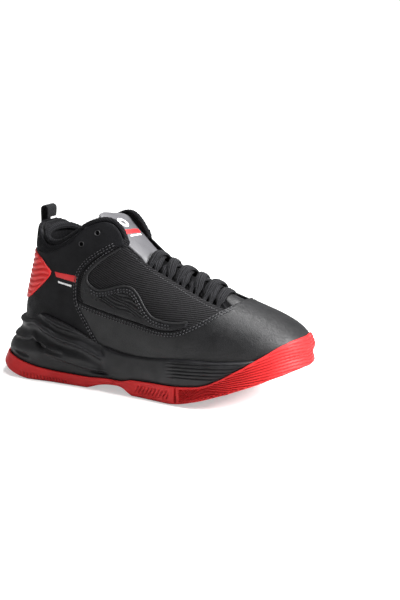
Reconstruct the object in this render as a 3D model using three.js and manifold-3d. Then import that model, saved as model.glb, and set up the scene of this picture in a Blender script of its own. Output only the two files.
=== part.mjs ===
// Basketball high top, right foot, in millimetres. +X points to the toe, +Y to the inner (medial) side
// of the foot and +Z up. The tread stands on Z = 0. The upper is built in layers on one skin, which is
// lofted from sections that fan from the toe tip, under the foot, round the heel and up the ankle.
import * as THREE from "three";
import { mergeVertices } from "three/addons/utils/BufferGeometryUtils.js";
import Module from "manifold-3d";

const wasm = await Module();
wasm.setup();

// ---------------------------------------------------------------- driving dimensions
const GAP = 0.3; // clearance between pieces that are glued or stitched together
const OUTER = 1.6; // leather, woven and textile panels
const PADDING = 2.3; // foam and stiffeners behind the panels
const LINING = 1.1;
const OVERLAY = 1.2;
const COUNTER = 1.8; // moulded heel counter cage
const OUTSOLE = 4.5; // rubber under the foot
const WRAP = 2.2; // rubber on the side walls
const BOARD = 1.8; // strobel board
const INSOLE = 4.5;
const STAY = 1; // eyestay reinforcement behind the throat edge
const STAY_SPAN = [2.5, 12]; // its distances from the throat's edge
const TONGUE_PAD = 4.5;
const TONGUE_SAG = 0.03; // how the tongue's face falls away from its ridge, per mm sideways, squared
const FLAP_PAD = 7;
const FLAP_HALF = [15, 19]; // half widths of the flap at the fold and at the top
const FLAP_SAG = 0.012;
const FACE_INSET = 1; // the leather face ends this far inside the flap's edge
const BINDING_R = 2.6; // collar binding
const PUNCH_R = 1.8; // unused top lace holes
const LACE_W = 6.2;
const LACE_T = 2.2;
const LACE_ROWS = 6;
const LOOP = [5.4, LACE_T + 0.9, 0.7, 1.6]; // lace loop: clear width and height, thickness, and length
const AGLET_R = 1.7;
const AGLET_L = 20;
const TAB_W = 15; // heel pull tab webbing
const TAB_BASE = 146.5; // height of the loop's fold
const TAB_GAP = 5.6; // between the legs of the tab's loop
const TAB_H = 12; // height of the loop over the collar
const TAB_FOLD = 1.1; // gap that the tab's loop bends in
const WEB = 1.4;
const SHANK = [62, 24, 1.8]; // arch plate
const SHANK_PLACE = [108, 0, 12.9]; // under the middle of its underside
const FAR = 200; // larger than the shoe's half width or height

// Offsets of the layers' faces from the skin, outside positive.
const PADDING_OUT = -OUTER - GAP;
const PADDING_IN = PADDING_OUT - PADDING;
const LINING_OUT = PADDING_IN - GAP;
const LINING_IN = LINING_OUT - LINING;
const LINING_DROP = 15; // the lining and padding end this far under the throat edge
const EDGE_DROP = 1.5; // the layers end this far under the middle of the collar roll

// Sections of the skin: sole or heel-back point (xb, zb), ridge point (xf, zf), centre line y, half
// width, the share of the height where it is widest, squareness below and above that, and how much of a
// side wall the back point is.
const SECTIONS = [
  // xb, zb, xf, zf, yc, half, widest, low, high, wall
  [297, 54, 297, 54, 8, 0, 0.35, 2.6, 2.2, 1],
  [294, 48, 291, 62, 8, 17, 0.35, 2.8, 2.2, 0.8],
  [284, 40, 280, 71, 7, 30, 0.34, 3.4, 2.2, 0.3],
  [268, 31, 263, 79, 5, 40, 0.33, 4.2, 2.2, 0],
  [247, 22.5, 243, 86, 3, 45.5, 0.32, 4.4, 2.2, 0],
  [223, 15.5, 221, 93.5, 2, 48, 0.31, 4.4, 2.2, 0],
  [198, 13, 199, 101.5, 1, 48, 0.31, 4.4, 2.2, 0],
  [171, 14, 178, 110, 0, 45, 0.32, 4.4, 2.2, 0],
  [142, 16, 162, 119.5, 0, 41, 0.34, 4.2, 2.2, 0],
  [110, 17, 152, 129, 0, 38, 0.36, 4, 2.2, 0],
  [76, 19, 146, 139, 0, 36, 0.38, 3.6, 2.2, 0],
  [43, 22, 142, 149, 0, 35, 0.38, 3.2, 2.2, 0.2],
  [18, 33, 138, 158, 0, 34, 0.38, 2.6, 2.2, 0.7],
  [13.5, 55, 133, 166, 0, 33.5, 0.36, 2.3, 2.2, 1],
  [18.5, 82, 127, 174, 0, 33, 0.36, 2.2, 2.2, 1],
  [25, 108, 119, 182, 0, 32.5, 0.38, 2.2, 2.2, 1],
  [29, 132, 110, 190, 0, 32.5, 0.4, 2.2, 2.2, 1],
  [31, 152, 100, 196, 0, 32.5, 0.42, 2.2, 2.2, 1],
];
const LAST_SECTION = SECTIONS.length - 1;
const AROUND = 18; // points round a section

// Side-view outlines (x, z) of the openings and seams. They are the same on the outer and the inner side
// of the foot.
const COLLAR = [
  [30, 147], [36, 142.5], [44, 135], [54, 129], [66, 131], [79, 139], [93, 149], [106, 154], [116, 153],
  [124, 146], [131, 133],
];
const THROAT = [[131, 131], [155, 115], [186, 101], [214, 90], [236, 83]];
const QUARTER_SEAM = [
  [140, 142], [129, 135], [120, 130.5], [108, 123.5], [96, 115], [88, 105], [85, 93], [85.5, 80.5], [89, 71.5],
  [95, 63], [102, 52.6], [109, 43], [118, 30], [124, 5],
];
const TOE_SEAM = [
  [78, 79.5], [90, 77], [106, 73.5], [123, 70.5], [144, 67.7], [164, 65], [178, 63.7], [192, 65], [203, 69.3],
  [216, 76.5], [227, 83.5], [237, 90], [250, 104],
];
const PUNCHES = [[103, 142.5], [88, 131.5]];
// The tongue's ridge under the laces, and the flap's ridge above the fold.
const TONGUE_LINE = [[238, 85], [215, 93.5], [190, 102], [167, 110.5], [150, 117.5]];
const FOLD = [147, 119];
const TONGUE_TOP = [101, 156];
const PAD_SEAM = [
  [-10, 124], [20, 124], [38, 121], [52, 121], [64, 125], [78, 133], [88, 143], [92, 156],
];
const OVERLAY_EDGE = [
  [128, 132], [112, 121.5], [101.5, 112.5], [95, 104.5], [95.5, 97], [104, 91.5], [113, 91.5], [130, 96.5],
  [141, 96.5], [149.5, 90.5], [157.5, 81.5], [166, 74.7], [176, 72], [191, 71.5], [203, 73.5], [196, 69.8],
  [188, 66.8], [178, 65.5], [164, 66.8], [144, 69.6], [123, 72.5], [106, 75.6], [92, 79.3], [88, 84], [87.8, 93],
  [90.3, 104.5], [98, 114.5], [114, 125.5],
];
const COUNTER_EDGE = [
  [-10, 121], [22, 120.5], [34, 119.5], [44, 115.5], [52, 108.5], [56.5, 102], [49, 92.5], [37, 81.5], [26, 74],
  [14, 70], [-10, 69],
];

// Sole outline at the midsole's wall (x, y), heel first, then the outer side, the toe and the inner side.
const SOLE_OUTLINE = [
  [0, 0], [9, -24], [42, -39], [100, -41], [150, -45], [205, -52], [250, -47], [284, -26],
  [298, 7], [285, 36], [254, 51], [208, 55], [152, 46], [100, 40], [42, 38.5], [9, 24],
];
// Heights of the sole along its length (x, z).
const TREAD = [
  [0, 11], [14, 4.5], [34, 0], [96, 0], [111, 4.5], [124, 6.5], [136, 6], [148, 0], [188, 0], [211, 4.5],
  [245, 15.5], [267, 24], [287, 32], [297, 36],
];
const OUTSOLE_TOP = [
  [0, 19.5], [16, 17.5], [36, 14], [51, 12], [69, 11], [99, 10.5], [120, 12], [136, 12], [146, 14.5],
  [168, 16], [195, 17], [219, 20], [234, 26], [258, 41], [274, 54], [290, 65], [297, 68],
];
const MIDSOLE_TOP = [
  [0, 61], [36, 63], [55, 61], [80, 54], [101, 46], [120, 40], [143, 37.5], [169, 39], [199, 42], [234, 43],
  [262, 46], [297, 50],
];
// The heel's walls lean in on their way up, over the first part of the length.
const HEEL_SPAN = 60;
const HEEL_FLARE = 7; // out at HEEL_FOOT
const HEEL_FOOT = 15;
const HEEL_LEAN = 0.41; // in, per mm of height
const TOE_LEAN = [262, 297, 5.5]; // from x, to x, in at the top
const TREAD_BEVEL = [4, 3]; // in and up, at the tread's edge

// ---------------------------------------------------------------- curves and solids
// Catmull-Rom interpolation of rows of numbers at position s, which counts rows.
function rowAt(rows, s) {
  const i = Math.min(Math.floor(s), rows.length - 2);
  const f = s - i;
  const [b, c] = [rows[i], rows[i + 1]];
  const a = rows[i - 1] ?? b.map((v, k) => 2 * v - c[k]);
  const d = rows[i + 2] ?? c.map((v, k) => 2 * v - b[k]);
  return b.map((v, k) => {
    const square = 2 * a[k] - 5 * v + 4 * c[k] - d[k];
    const cube = 3 * v - 3 * c[k] + d[k] - a[k];
    return 0.5 * (2 * v + (c[k] - a[k]) * f + square * f ** 2 + cube * f ** 3);
  });
}

// Height of a profile given as (x, z) points in order of x.
function heightAt(profile, x) {
  const i = THREE.MathUtils.clamp(profile.findIndex((p) => p[0] > x) - 1, 0, profile.length - 2);
  if (x >= profile.at(-1)[0]) return profile.at(-1)[1];
  const f = THREE.MathUtils.clamp((x - profile[i][0]) / (profile[i + 1][0] - profile[i][0]), 0, 1);
  return Math.max(0, rowAt(profile, i + f)[1]);
}

// Side-view points as THREE.Vector2, and a smooth curve through them.
const vector2 = (points) => points.map(([x, z]) => new THREE.Vector2(x, z));
const smooth = (points, steps = 3) =>
  new THREE.SplineCurve(vector2(points)).getPoints(steps * (points.length - 1));

// The point of the skin, moved out by offset, at section s and angle a: 0 is the sole or heel back, PI
// the ridge, and negative angles are the inner side of the foot.
function skin(s, a, offset = 0) {
  const [xb, zb, xf, zf, yc, half, widest, low, high, wall] = rowAt(SECTIONS, s);
  const height = Math.max(Math.hypot(xf - xb, zf - zb), 1e-6);
  const [ux, uz] = [(xf - xb) / height, (zf - zb) / height];
  const nose = Math.max(0, 1 - s / 3); // near the toe tip the skin also faces forward
  const below = Math.abs(a) <= Math.PI / 2;
  const e = 2 / (below ? low : high);
  const c = Math.abs(Math.cos(a)) ** e;
  const t = below ? widest * (1 - c) : widest + (1 - widest) * c;
  const from = -offset * wall;
  const along = height * t * (1 + (offset * (1 + wall)) / Math.max(height, 2 * Math.abs(offset) + 1)) + from;
  const width = s < 1e-6 ? 0 : Math.max(half + offset, 0.5) * Math.abs(Math.sin(a)) ** e;
  return new THREE.Vector3(
    xb + ux * along + offset * nose,
    yc - Math.sign(a || 1) * width,
    zb + uz * along,
  );
}

// Section and angle of the side-view point (x, z) on the skin.
function locate(x, z) {
  const ahead = (s) => {
    const [xb, zb, xf, zf] = rowAt(SECTIONS, s);
    return (x - xb) * (zf - zb) - (z - zb) * (xf - xb) > 0;
  };
  let [near, far] = [0.02, LAST_SECTION - 0.001];
  for (let k = 0; k < 40; k++) {
    const middle = (near + far) / 2;
    if (ahead(middle)) far = middle;
    else near = middle;
  }
  const [xb, zb, xf, zf, , , widest, low, high] = rowAt(SECTIONS, near);
  const t = ((x - xb) * (xf - xb) + (z - zb) * (zf - zb)) / ((xf - xb) ** 2 + (zf - zb) ** 2);
  const share = THREE.MathUtils.clamp(t < widest ? 1 - t / widest : (t - widest) / (1 - widest), 0, 1);
  const a = Math.acos(share ** ((t < widest ? low : high) / 2));
  return [near, t < widest ? a : Math.PI - a];
}

// The skin over the side-view point (x, z): side -1 is the outer side of the foot and +1 the inner side.
function over(x, z, side, offset = 0) {
  const [s, a] = locate(x, z);
  return skin(s, -side * a, offset);
}

// A closed body from rings of equally many points. A ring of one point is a tip, and the other ends are
// closed by fans.
function loft(rings) {
  const points = [];
  const index = [];
  const starts = rings.map((ring) => points.push(...ring) - ring.length);
  for (let r = 0; r + 1 < rings.length; r++) {
    const n = Math.max(rings[r].length, rings[r + 1].length);
    for (let k = 0; k < n; k++) {
      const [a, b] = [k, (k + 1) % n].map((i) => starts[r] + (rings[r].length > 1 ? i : 0));
      const [c, d] = [k, (k + 1) % n].map((i) => starts[r + 1] + (rings[r + 1].length > 1 ? i : 0));
      if (a !== b) index.push(a, b, c);
      if (c !== d) index.push(b, d, c);
    }
  }
  for (const [r, flip] of [[0, true], [rings.length - 1, false]]) {
    const ring = rings[r];
    if (ring.length === 1) continue;
    const centre = ring.reduce((sum, p) => sum.add(p), new THREE.Vector3()).divideScalar(ring.length);
    const hub = points.push(centre) - 1;
    ring.forEach((_, k) => {
      const [a, b] = [starts[r] + k, starts[r] + ((k + 1) % ring.length)];
      index.push(hub, ...(flip ? [b, a] : [a, b]));
    });
  }
  return new THREE.BufferGeometry().setFromPoints(points).setIndex(index);
}

// A three.js geometry as a manifold-3d solid with its faces out, and back.
function solid(geometry) {
  const bare = (geometry.index ? geometry.toNonIndexed() : geometry).clone();
  bare.deleteAttribute("normal");
  bare.deleteAttribute("uv");
  const merged = mergeVertices(bare, 1e-4);
  const vertProperties = merged.attributes.position.array;
  const triVerts = new Uint32Array(merged.index.array);
  const make = () => new wasm.Manifold(new wasm.Mesh({ numProp: 3, vertProperties, triVerts }));
  const made = make();
  if (made.volume() > 0) return made;
  for (let i = 0; i < triVerts.length; i += 3) triVerts.subarray(i, i + 3).reverse();
  return make();
}

function geometryOf(body) {
  const { vertProperties, triVerts, numProp, numVert } = body.getMesh();
  const point = (i) => new THREE.Vector3().fromArray(vertProperties, i * numProp);
  const points = Array.from({ length: numVert }, (_, i) => point(i));
  return new THREE.BufferGeometry().setFromPoints(points).setIndex(Array.from(triVerts));
}

// The largest single body, which drops the specks that a cut can leave.
const largest = (body) => body.decompose().reduce((a, b) => (a.volume() > b.volume() ? a : b));

// The foot shape with its skin moved out by offset.
function foot(offset) {
  const rings = [[skin(0, 0, offset)]];
  for (let s = 1; s <= LAST_SECTION; s++)
    rings.push(
      Array.from({ length: AROUND }, (_, k) => skin(s, Math.PI * ((2 * k) / AROUND - 1) + 1e-9, offset)),
    );
  return solid(loft(rings));
}

// Everything over a side-view outline, between two y values.
function block(outline, y0 = -FAR, y1 = FAR) {
  const shape = new THREE.Shape(outline.map((p) => (p.isVector2 ? p : new THREE.Vector2(...p))));
  const geometry = new THREE.ExtrudeGeometry(shape, { depth: y1 - y0, bevelEnabled: false });
  return solid(geometry.rotateX(Math.PI / 2).translate(0, y1, 0));
}

// The outer (lateral) and the inner (medial) half of the shoe.
const whole = [[-30, -FAR], [330, -FAR], [330, FAR], [-30, FAR]];
const HALVES = [
  ["lateral", -1, block(whole, -FAR, -GAP / 2)],
  ["medial", 1, block(whole, GAP / 2, FAR)],
];

// The points of a side-view curve moved sideways by d.
const beside = (curve, d) =>
  curve.map((p, i) => {
    const t = curve[Math.min(i + 1, curve.length - 1)].clone().sub(curve[Math.max(i - 1, 0)]).normalize();
    return new THREE.Vector2(p.x - t.y * d, p.y + t.x * d);
  });

// A thin wall along a side-view curve, which keeps the panels on its two sides apart.
const seamWall = (curve) => block([...beside(curve, GAP / 2), ...beside(curve, -GAP / 2).reverse()]);

// The slab between two heights above the sole line of the skin.
function bedSlab(low, high) {
  const xs = Array.from({ length: 25 }, (_, i) => -6 + i * 13);
  const sole = (x) => {
    const row = SECTIONS.slice(0, 13).reverse().map(([xb, zb]) => [xb, zb]);
    return heightAt([[-10, 33], ...row], x);
  };
  return block([...xs.map((x) => [x, sole(x) + low]), ...xs.reverse().map((x) => [x, sole(x) + high])]);
}

// ---------------------------------------------------------------- materials
const material = (color, roughness) => new THREE.MeshStandardMaterial({ color, roughness, metalness: 0 });
const LOOKS = {
  leather: material(0x1c1c1e, 0.42),
  woven: material(0x141416, 0.9),
  lining: material(0x0c0c0d, 0.95),
  foam: material(0x3a3a3c, 0.95),
  board: material(0xb9b2a2, 0.9),
  midsole: material(0x222325, 0.6),
  rubber: material(0xd2262b, 0.55),
  counter: material(0xd8252a, 0.4),
  lace: material(0x1b1b1d, 0.85),
  plastic: material(0x2a2b2d, 0.35),
};

const group = new THREE.Group();
function add(name, look, body) {
  const mesh = new THREE.Mesh(body.isBufferGeometry ? body : geometryOf(largest(body)), LOOKS[look]);
  mesh.name = name;
  group.add(mesh);
  return mesh;
}

// ---------------------------------------------------------------- upper
const collarEdge = smooth(COLLAR);
const throatEdge = smooth(THROAT);
const quarterSeam = smooth(QUARTER_SEAM);
const toeSeam = smooth(TOE_SEAM);
const padSeam = smooth(PAD_SEAM);

// Everything over an edge that lies drop under the collar's and throatDrop under the throat's edge.
function openingAbove(drop, throatDrop = drop) {
  const collar = collarEdge.map((p) => new THREE.Vector2(p.x, p.y - drop));
  collar[0].x = -30;
  const throat = throatEdge.map((p) => new THREE.Vector2(p.x, p.y - throatDrop));
  return block([...collar, ...throat, [250, 104 - throatDrop], [320, FAR], [-30, FAR]]);
}

// A body swept along points, with a section of width w and thickness t that lies flat on the normals. w
// and t may be functions of the point's number.
function sweep(points, normals, w, t, sides = 8) {
  const at = (size, i) => (typeof size === "function" ? size(i) : size);
  return loft(
    points.map((p, i) => {
      const [before, after] = [points[Math.max(i - 1, 0)], points[Math.min(i + 1, points.length - 1)]];
      const along = after.clone().sub(before).normalize();
      const across = normals[i].clone().cross(along).normalize();
      const up = along.clone().cross(across);
      return Array.from({ length: sides }, (_, k) => {
        const a = (2 * Math.PI * (k + 0.5)) / sides;
        return p
          .clone()
          .addScaledVector(across, (at(w, i) / 2) * Math.cos(a))
          .addScaledVector(up, (at(t, i) / 2) * Math.sin(a));
      });
    }),
  );
}

// The padded roll along the foot opening, from one blunt end round the heel to the other.
function collarRoll(radius) {
  const edge = smooth(COLLAR, 2);
  const middle = LINING_IN / 2;
  const along = (side) => edge.map((p) => over(p.x, p.y, side, middle));
  const back = skin(locate(edge[0].x, edge[0].y)[0], 0, middle).setZ(edge[0].y);
  const path = new THREE.CatmullRomCurve3([...along(-1).reverse(), back, ...along(1)]).getPoints(34);
  const centre = new THREE.Vector3(75, 0, 90);
  const normals = path.map((p) => p.clone().sub(centre).normalize());
  return solid(sweep(path, normals, 2 * radius, 2 * radius));
}

function buildUpper() {
  const made = new Map();
  const footAt = (offset) => made.get(offset) ?? made.set(offset, foot(offset)).get(offset);
  const roomForRoll = collarRoll(BINDING_R + GAP);
  const board = bedSlab(-60, BOARD + 2 * GAP);
  const layer = (outside, inside) =>
    footAt(outside).subtract(footAt(inside)).subtract(board).subtract(roomForRoll);
  const addHalves = (name, look, body) =>
    HALVES.forEach(([side, , half]) => add(`${name}_${side}`, look, body.intersect(half)));

  // Outer panels.
  const punches = PUNCHES.map(([x, z]) =>
    solid(new THREE.CylinderGeometry(PUNCH_R, PUNCH_R, 2 * FAR, 8).translate(x, 0, z)),
  ).reduce((a, b) => a.add(b));
  const outer = layer(0, -OUTER).subtract(openingAbove(EDGE_DROP, 0)).subtract(seamWall(quarterSeam));
  const behindQuarterSeam = block([...quarterSeam, [-30, 5], [-30, FAR], [140, FAR]]);
  const overToeSeam = block([...toeSeam, [320, 104], [320, FAR], [85, FAR]]);
  const overPadSeam = block([...padSeam, [92, FAR], [-10, FAR]]);
  const quarters = outer.intersect(behindQuarterSeam).subtract(seamWall(padSeam));
  const front = outer.subtract(behindQuarterSeam).subtract(seamWall(toeSeam));
  add("heel_collar_cover", "lining", quarters.intersect(overPadSeam));
  addHalves("quarter_panel", "leather", quarters.subtract(overPadSeam).subtract(punches));
  addHalves("woven_panel", "woven", front.intersect(overToeSeam));
  add("toe_and_vamp_panel", "leather", front.subtract(overToeSeam));

  // Pieces on top of the panels.
  const overlay = footAt(GAP + OVERLAY).subtract(footAt(GAP)).subtract(roomForRoll);
  const overlayEdge = smooth([...OVERLAY_EDGE, OVERLAY_EDGE[0]], 2).slice(1);
  addHalves("side_overlay", "leather", overlay.intersect(block(overlayEdge)));
  const counter = footAt(GAP + COUNTER).subtract(footAt(GAP));
  add("heel_counter_cage", "counter", counter.intersect(block(COUNTER_EDGE)));

  // Stiffeners and foam behind the panels.
  const padding = layer(PADDING_OUT, PADDING_IN).subtract(openingAbove(EDGE_DROP, LINING_DROP));
  const toeEnd = block([[262, -FAR], [330, -FAR], [330, FAR], [250, FAR]]);
  const heelCup = block([[-30, -FAR], [78, -FAR], [78, 60], [58, 88], [20, 98], [-30, 98]]);
  const ankle = block([
    [-30, 99], [20, 99], [59, 89], [79, 61], [84, 62], [92, 78], [100, 104], [124, 126], [124, FAR],
    [-30, FAR],
  ]);
  add("toe_puff", "board", padding.intersect(toeEnd));
  add("heel_stiffener", "board", padding.intersect(heelCup));
  addHalves("collar_foam", "foam", padding.intersect(ankle));
  const [stayTop, stayEnd] = STAY_SPAN.map((drop) => beside(throatEdge, -drop).slice(2));
  const staySpan = block([...stayTop, ...stayEnd.reverse()]);
  const stays = footAt(PADDING_OUT).subtract(footAt(PADDING_OUT - STAY)).subtract(openingAbove(0));
  addHalves("eyestay", "woven", stays.subtract(roomForRoll).intersect(staySpan));

  // Linings of the forefoot and of the ankle.
  const lining = layer(LINING_OUT, LINING_IN).subtract(openingAbove(EDGE_DROP, LINING_DROP));
  const split = smooth([[118, 0], [118, 60], [126, 100], [150, 125]]);
  const liningFront = block([...split, [330, 125], [330, 0]]);
  add("vamp_lining", "lining", lining.intersect(liningFront));
  add("ankle_lining", "lining", lining.subtract(liningFront).subtract(seamWall(split)));

  // What closes the upper under the foot, and the roll round its opening.
  add("strobel_board", "board", footAt(-GAP).intersect(bedSlab(GAP, GAP + BOARD)));
  const bed = bedSlab(3 * GAP + BOARD, 3 * GAP + BOARD + INSOLE);
  add("insole", "lining", footAt(LINING_IN - GAP).intersect(bed));
  add("collar_binding", "lining", collarRoll(BINDING_R));
}

// ---------------------------------------------------------------- sole
// One closed ring of the sole at an offset outside its outline, with its height from a function of x.
const SOLE_STEPS = 36;
const soleCurve = new THREE.CatmullRomCurve3(SOLE_OUTLINE.map(([x, y]) => new THREE.Vector3(x, y, 0)), true);
function soleRing(offset, height) {
  return Array.from({ length: SOLE_STEPS }, (_, k) => {
    const p = soleCurve.getPoint(k / SOLE_STEPS);
    const t = soleCurve.getTangent(k / SOLE_STEPS);
    const z = height(p.x);
    const share = 1 - THREE.MathUtils.smoothstep(p.x, 0, HEEL_SPAN);
    const heel = share * (HEEL_FLARE - HEEL_LEAN * (z - HEEL_FOOT));
    const out = heel + (typeof offset === "function" ? offset(p.x) : offset);
    return new THREE.Vector3(p.x + t.y * out, p.y - t.x * out, z);
  });
}

// A body of stacked sole rings. Its bottom and top are ladders between the outer and the inner side.
function soleBody(rings) {
  const points = rings.flat();
  const index = [];
  const n = SOLE_STEPS;
  for (let r = 0; r + 1 < rings.length; r++)
    for (let k = 0; k < n; k++) {
      const [a, b, c, d] = [r * n + k, r * n + ((k + 1) % n), (r + 1) * n + k, (r + 1) * n + ((k + 1) % n)];
      index.push(a, b, c, b, d, c);
    }
  for (const [start, flip] of [[0, true], [(rings.length - 1) * n, false]])
    for (let k = 0; k < n / 2; k++) {
      const [a, b, c, d] = [k, k + 1, (n - k) % n, n - k - 1].map((i) => start + i);
      for (const t of [[a, b, c], [b, d, c]])
        if (new Set(t).size === 3) index.push(...(flip ? [t[0], t[2], t[1]] : t));
    }
  return solid(new THREE.BufferGeometry().setFromPoints(points).setIndex(index));
}

function buildSole() {
  const tread = (x) => heightAt(TREAD, x);
  const wrapTop = (x) => heightAt(OUTSOLE_TOP, x);
  const rim = (x) => heightAt(MIDSOLE_TOP, x);
  const [leanFrom, leanTo, leanIn] = TOE_LEAN;
  const lean = (out) => (x) => out - leanIn * THREE.MathUtils.smoothstep(x, leanFrom, leanTo);
  const [bevel, rise] = TREAD_BEVEL;
  const side = (bottom, gap, top) => [
    soleRing(gap - bevel, bottom),
    soleRing(gap, (x) => bottom(x) + rise),
    soleRing(lean(gap), top),
  ];
  const walls = soleBody(side(tread, WRAP, wrapTop));
  // Round the toe the rubber follows the upper.
  const wrapped = [190, 205, 220, 235, 250, 260, 268, 275, 282, 290, 300, 310].map((x) => [x, wrapTop(x)]);
  const under = wrapped.map(([x]) => [x, tread(x) + OUTSOLE]).reverse();
  const toeWrap = foot(GAP + WRAP).intersect(block([...wrapped, ...under]));
  const outside = walls.add(toeWrap);
  const inside = soleBody(side((x) => tread(x) + OUTSOLE, 0, (x) => Math.max(wrapTop(x), rim(x)) + 12));
  const cup = soleBody(side((x) => tread(x) + OUTSOLE + GAP, -GAP, rim));
  add("outsole", "rubber", outside.subtract(inside).subtract(foot(GAP)));
  // The arch plate lies in a recess in the midsole's top.
  const [length, width, thick] = SHANK;
  const [x, y, z] = SHANK_PLACE;
  const recess = new THREE.BoxGeometry(length + 2 * GAP, width + 2 * GAP, 2 * z);
  recess.translate(x, y, 2 * z - GAP);
  add("midsole", "midsole", cup.subtract(foot(GAP)).subtract(solid(recess)));
  add("shank_plate", "plastic", new THREE.BoxGeometry(length, width, thick).translate(x, y, z + thick / 2));
}

// ---------------------------------------------------------------- tongue
// The tongue is set on its ridge line, and a point of it is sideways by y and down under its face by depth.
const instepCentre = (x) => Math.max(0, 0.04 * (x - 171)); // the forefoot lies a little to the inner side
function tonguePoint(line, f, y, depth, sag) {
  const p = line.getPoint(f);
  const t = line.getTangent(f);
  const up = new THREE.Vector2(t.y, -t.x).multiplyScalar(Math.sign(-t.x));
  p.addScaledVector(up, -sag * y * y - depth);
  return new THREE.Vector3(p.x, y + instepCentre(p.x), p.y);
}

function tongueBody(line, from, to, steps, halfWidth, sag, top, pad) {
  const shares = [-1, -0.7, -0.35, 0, 0.35, 0.7, 1];
  return loft(
    Array.from({ length: steps + 1 }, (_, i) => {
      const f = THREE.MathUtils.lerp(from, to, i / steps);
      const half = halfWidth(i / steps);
      const face = shares.map((v) => tonguePoint(line, f, v * half, top, sag));
      const back = shares.map((v) => tonguePoint(line, f, v * half, top + pad * (1 - 0.5 * v ** 4), sag));
      return [...face, ...back.reverse()];
    }),
  );
}

const tongueLine = new THREE.SplineCurve(vector2(TONGUE_LINE));
const flapLine = new THREE.LineCurve(...vector2([FOLD, TONGUE_TOP]));

function buildTongue() {
  add("tongue_base", "woven", tongueBody(tongueLine, 0.02, 0.98, 8, () => 18, TONGUE_SAG, 0, TONGUE_PAD));
  // The flap is narrow between the quarters and widens above the collar.
  const [narrow, wide] = FLAP_HALF;
  const width = (f) => narrow + (wide - narrow) * THREE.MathUtils.smoothstep(f, 0.75, 1);
  const rounded = (f) => width(f) * (1 - 0.3 * Math.max(0, (f - 0.85) / 0.15) ** 2);
  add("tongue_flap", "woven", tongueBody(flapLine, 0.03, 1, 8, rounded, FLAP_SAG, 0, FLAP_PAD));
  const inner = (f) => rounded(f) - FACE_INSET;
  add("tongue_face_panel", "leather", tongueBody(flapLine, 0.05, 0.98, 8, inner, FLAP_SAG, -GAP - 1.3, 1.1));
}

// ---------------------------------------------------------------- heel pull tab
// A strip of webbing with the side-view line through the points, as wide as the tab.
function webbing(points) {
  const outline = [...beside(points, WEB / 2), ...beside(points, -WEB / 2).reverse()];
  const strip = new THREE.Shape(outline);
  const geometry = new THREE.ExtrudeGeometry(strip, { depth: TAB_W, bevelEnabled: false });
  return geometry.rotateX(Math.PI / 2).translate(0, TAB_W / 2, 0);
}

function buildPullTab() {
  // The lower end is sewn flat on the heel, and the loop stands over the collar.
  const sewn = [126, 133, 140, TAB_BASE - TAB_FOLD].map((z) => {
    const p = skin(locate(32, z)[0], 0, GAP + WEB / 2);
    return new THREE.Vector2(p.x - 0.2, z);
  });
  add("pull_tab_anchor", "lining", webbing(new THREE.SplineCurve(sewn).getPoints(4)));
  const base = sewn.at(-1).clone().setY(TAB_BASE);
  const half = (TAB_GAP + WEB) / 2;
  const bend = Array.from({ length: 7 }, (_, k) => {
    const a = Math.PI * (1 - k / 6);
    return new THREE.Vector2(base.x + half + half * Math.cos(a), base.y + TAB_H - half + half * Math.sin(a));
  });
  const tip = new THREE.Vector2(base.x + 2 * half + 0.3, base.y + 6);
  add("pull_tab_loop", "lining", webbing([base, ...bend, tip]));
}

// ---------------------------------------------------------------- laces
// Lace rows go along the throat, from the toe up, and the lace turns under its edge in a webbing loop at
// each row.
const LACE_UNDER = -6.4; // offset of the turns from the skin
const LACE_OVER = 1.5; // height of the lace's middle over the tongue
const ROW_FIRST = 0.15;
const ROW_LAST = 0.8;
const TURN = 2.9; // half the distance between a turn's two strands
const LACE_LIFT = 2.7; // how far the upper strand of a crossing rises over the lower one

function turnPoint(row, side, shift = 0) {
  const edge = new THREE.SplineCurve(vector2(THROAT).reverse());
  const f = THREE.MathUtils.lerp(ROW_FIRST, ROW_LAST, row / (LACE_ROWS - 1)) + shift / edge.getLength();
  const p = edge.getPointAt(f);
  const t = edge.getTangentAt(f);
  return over(p.x - 3.5 * Math.abs(t.y), p.y - 3.5 * Math.abs(t.x), side, LACE_UNDER);
}

// Height of the tongue's face over a point.
function tongueHeight(x, y) {
  const line = TONGUE_LINE.slice().reverse();
  const ridge = heightAt(line, THREE.MathUtils.clamp(x, line[0][0], line.at(-1)[0]));
  return ridge - TONGUE_SAG * (y - instepCentre(x)) ** 2;
}

// The way the tongue's face looks at y, about.
const tongueNormal = (y) => [0.35, 2 * TONGUE_SAG * y, 0.93];

// The strand between two turns goes over the tongue, and under or over the other strand where they cross.
function strand(from, to, lift) {
  return [0.22, 0.38, 0.5, 0.62, 0.78].map((share) => {
    const p = from.clone().lerp(to, share);
    const middle = 1 - Math.abs(2 * share - 1);
    const hump = lift * THREE.MathUtils.smoothstep(middle, 0.35, 0.8);
    return p.setZ(tongueHeight(p.x, p.y) + LACE_OVER + hump);
  });
}

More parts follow.
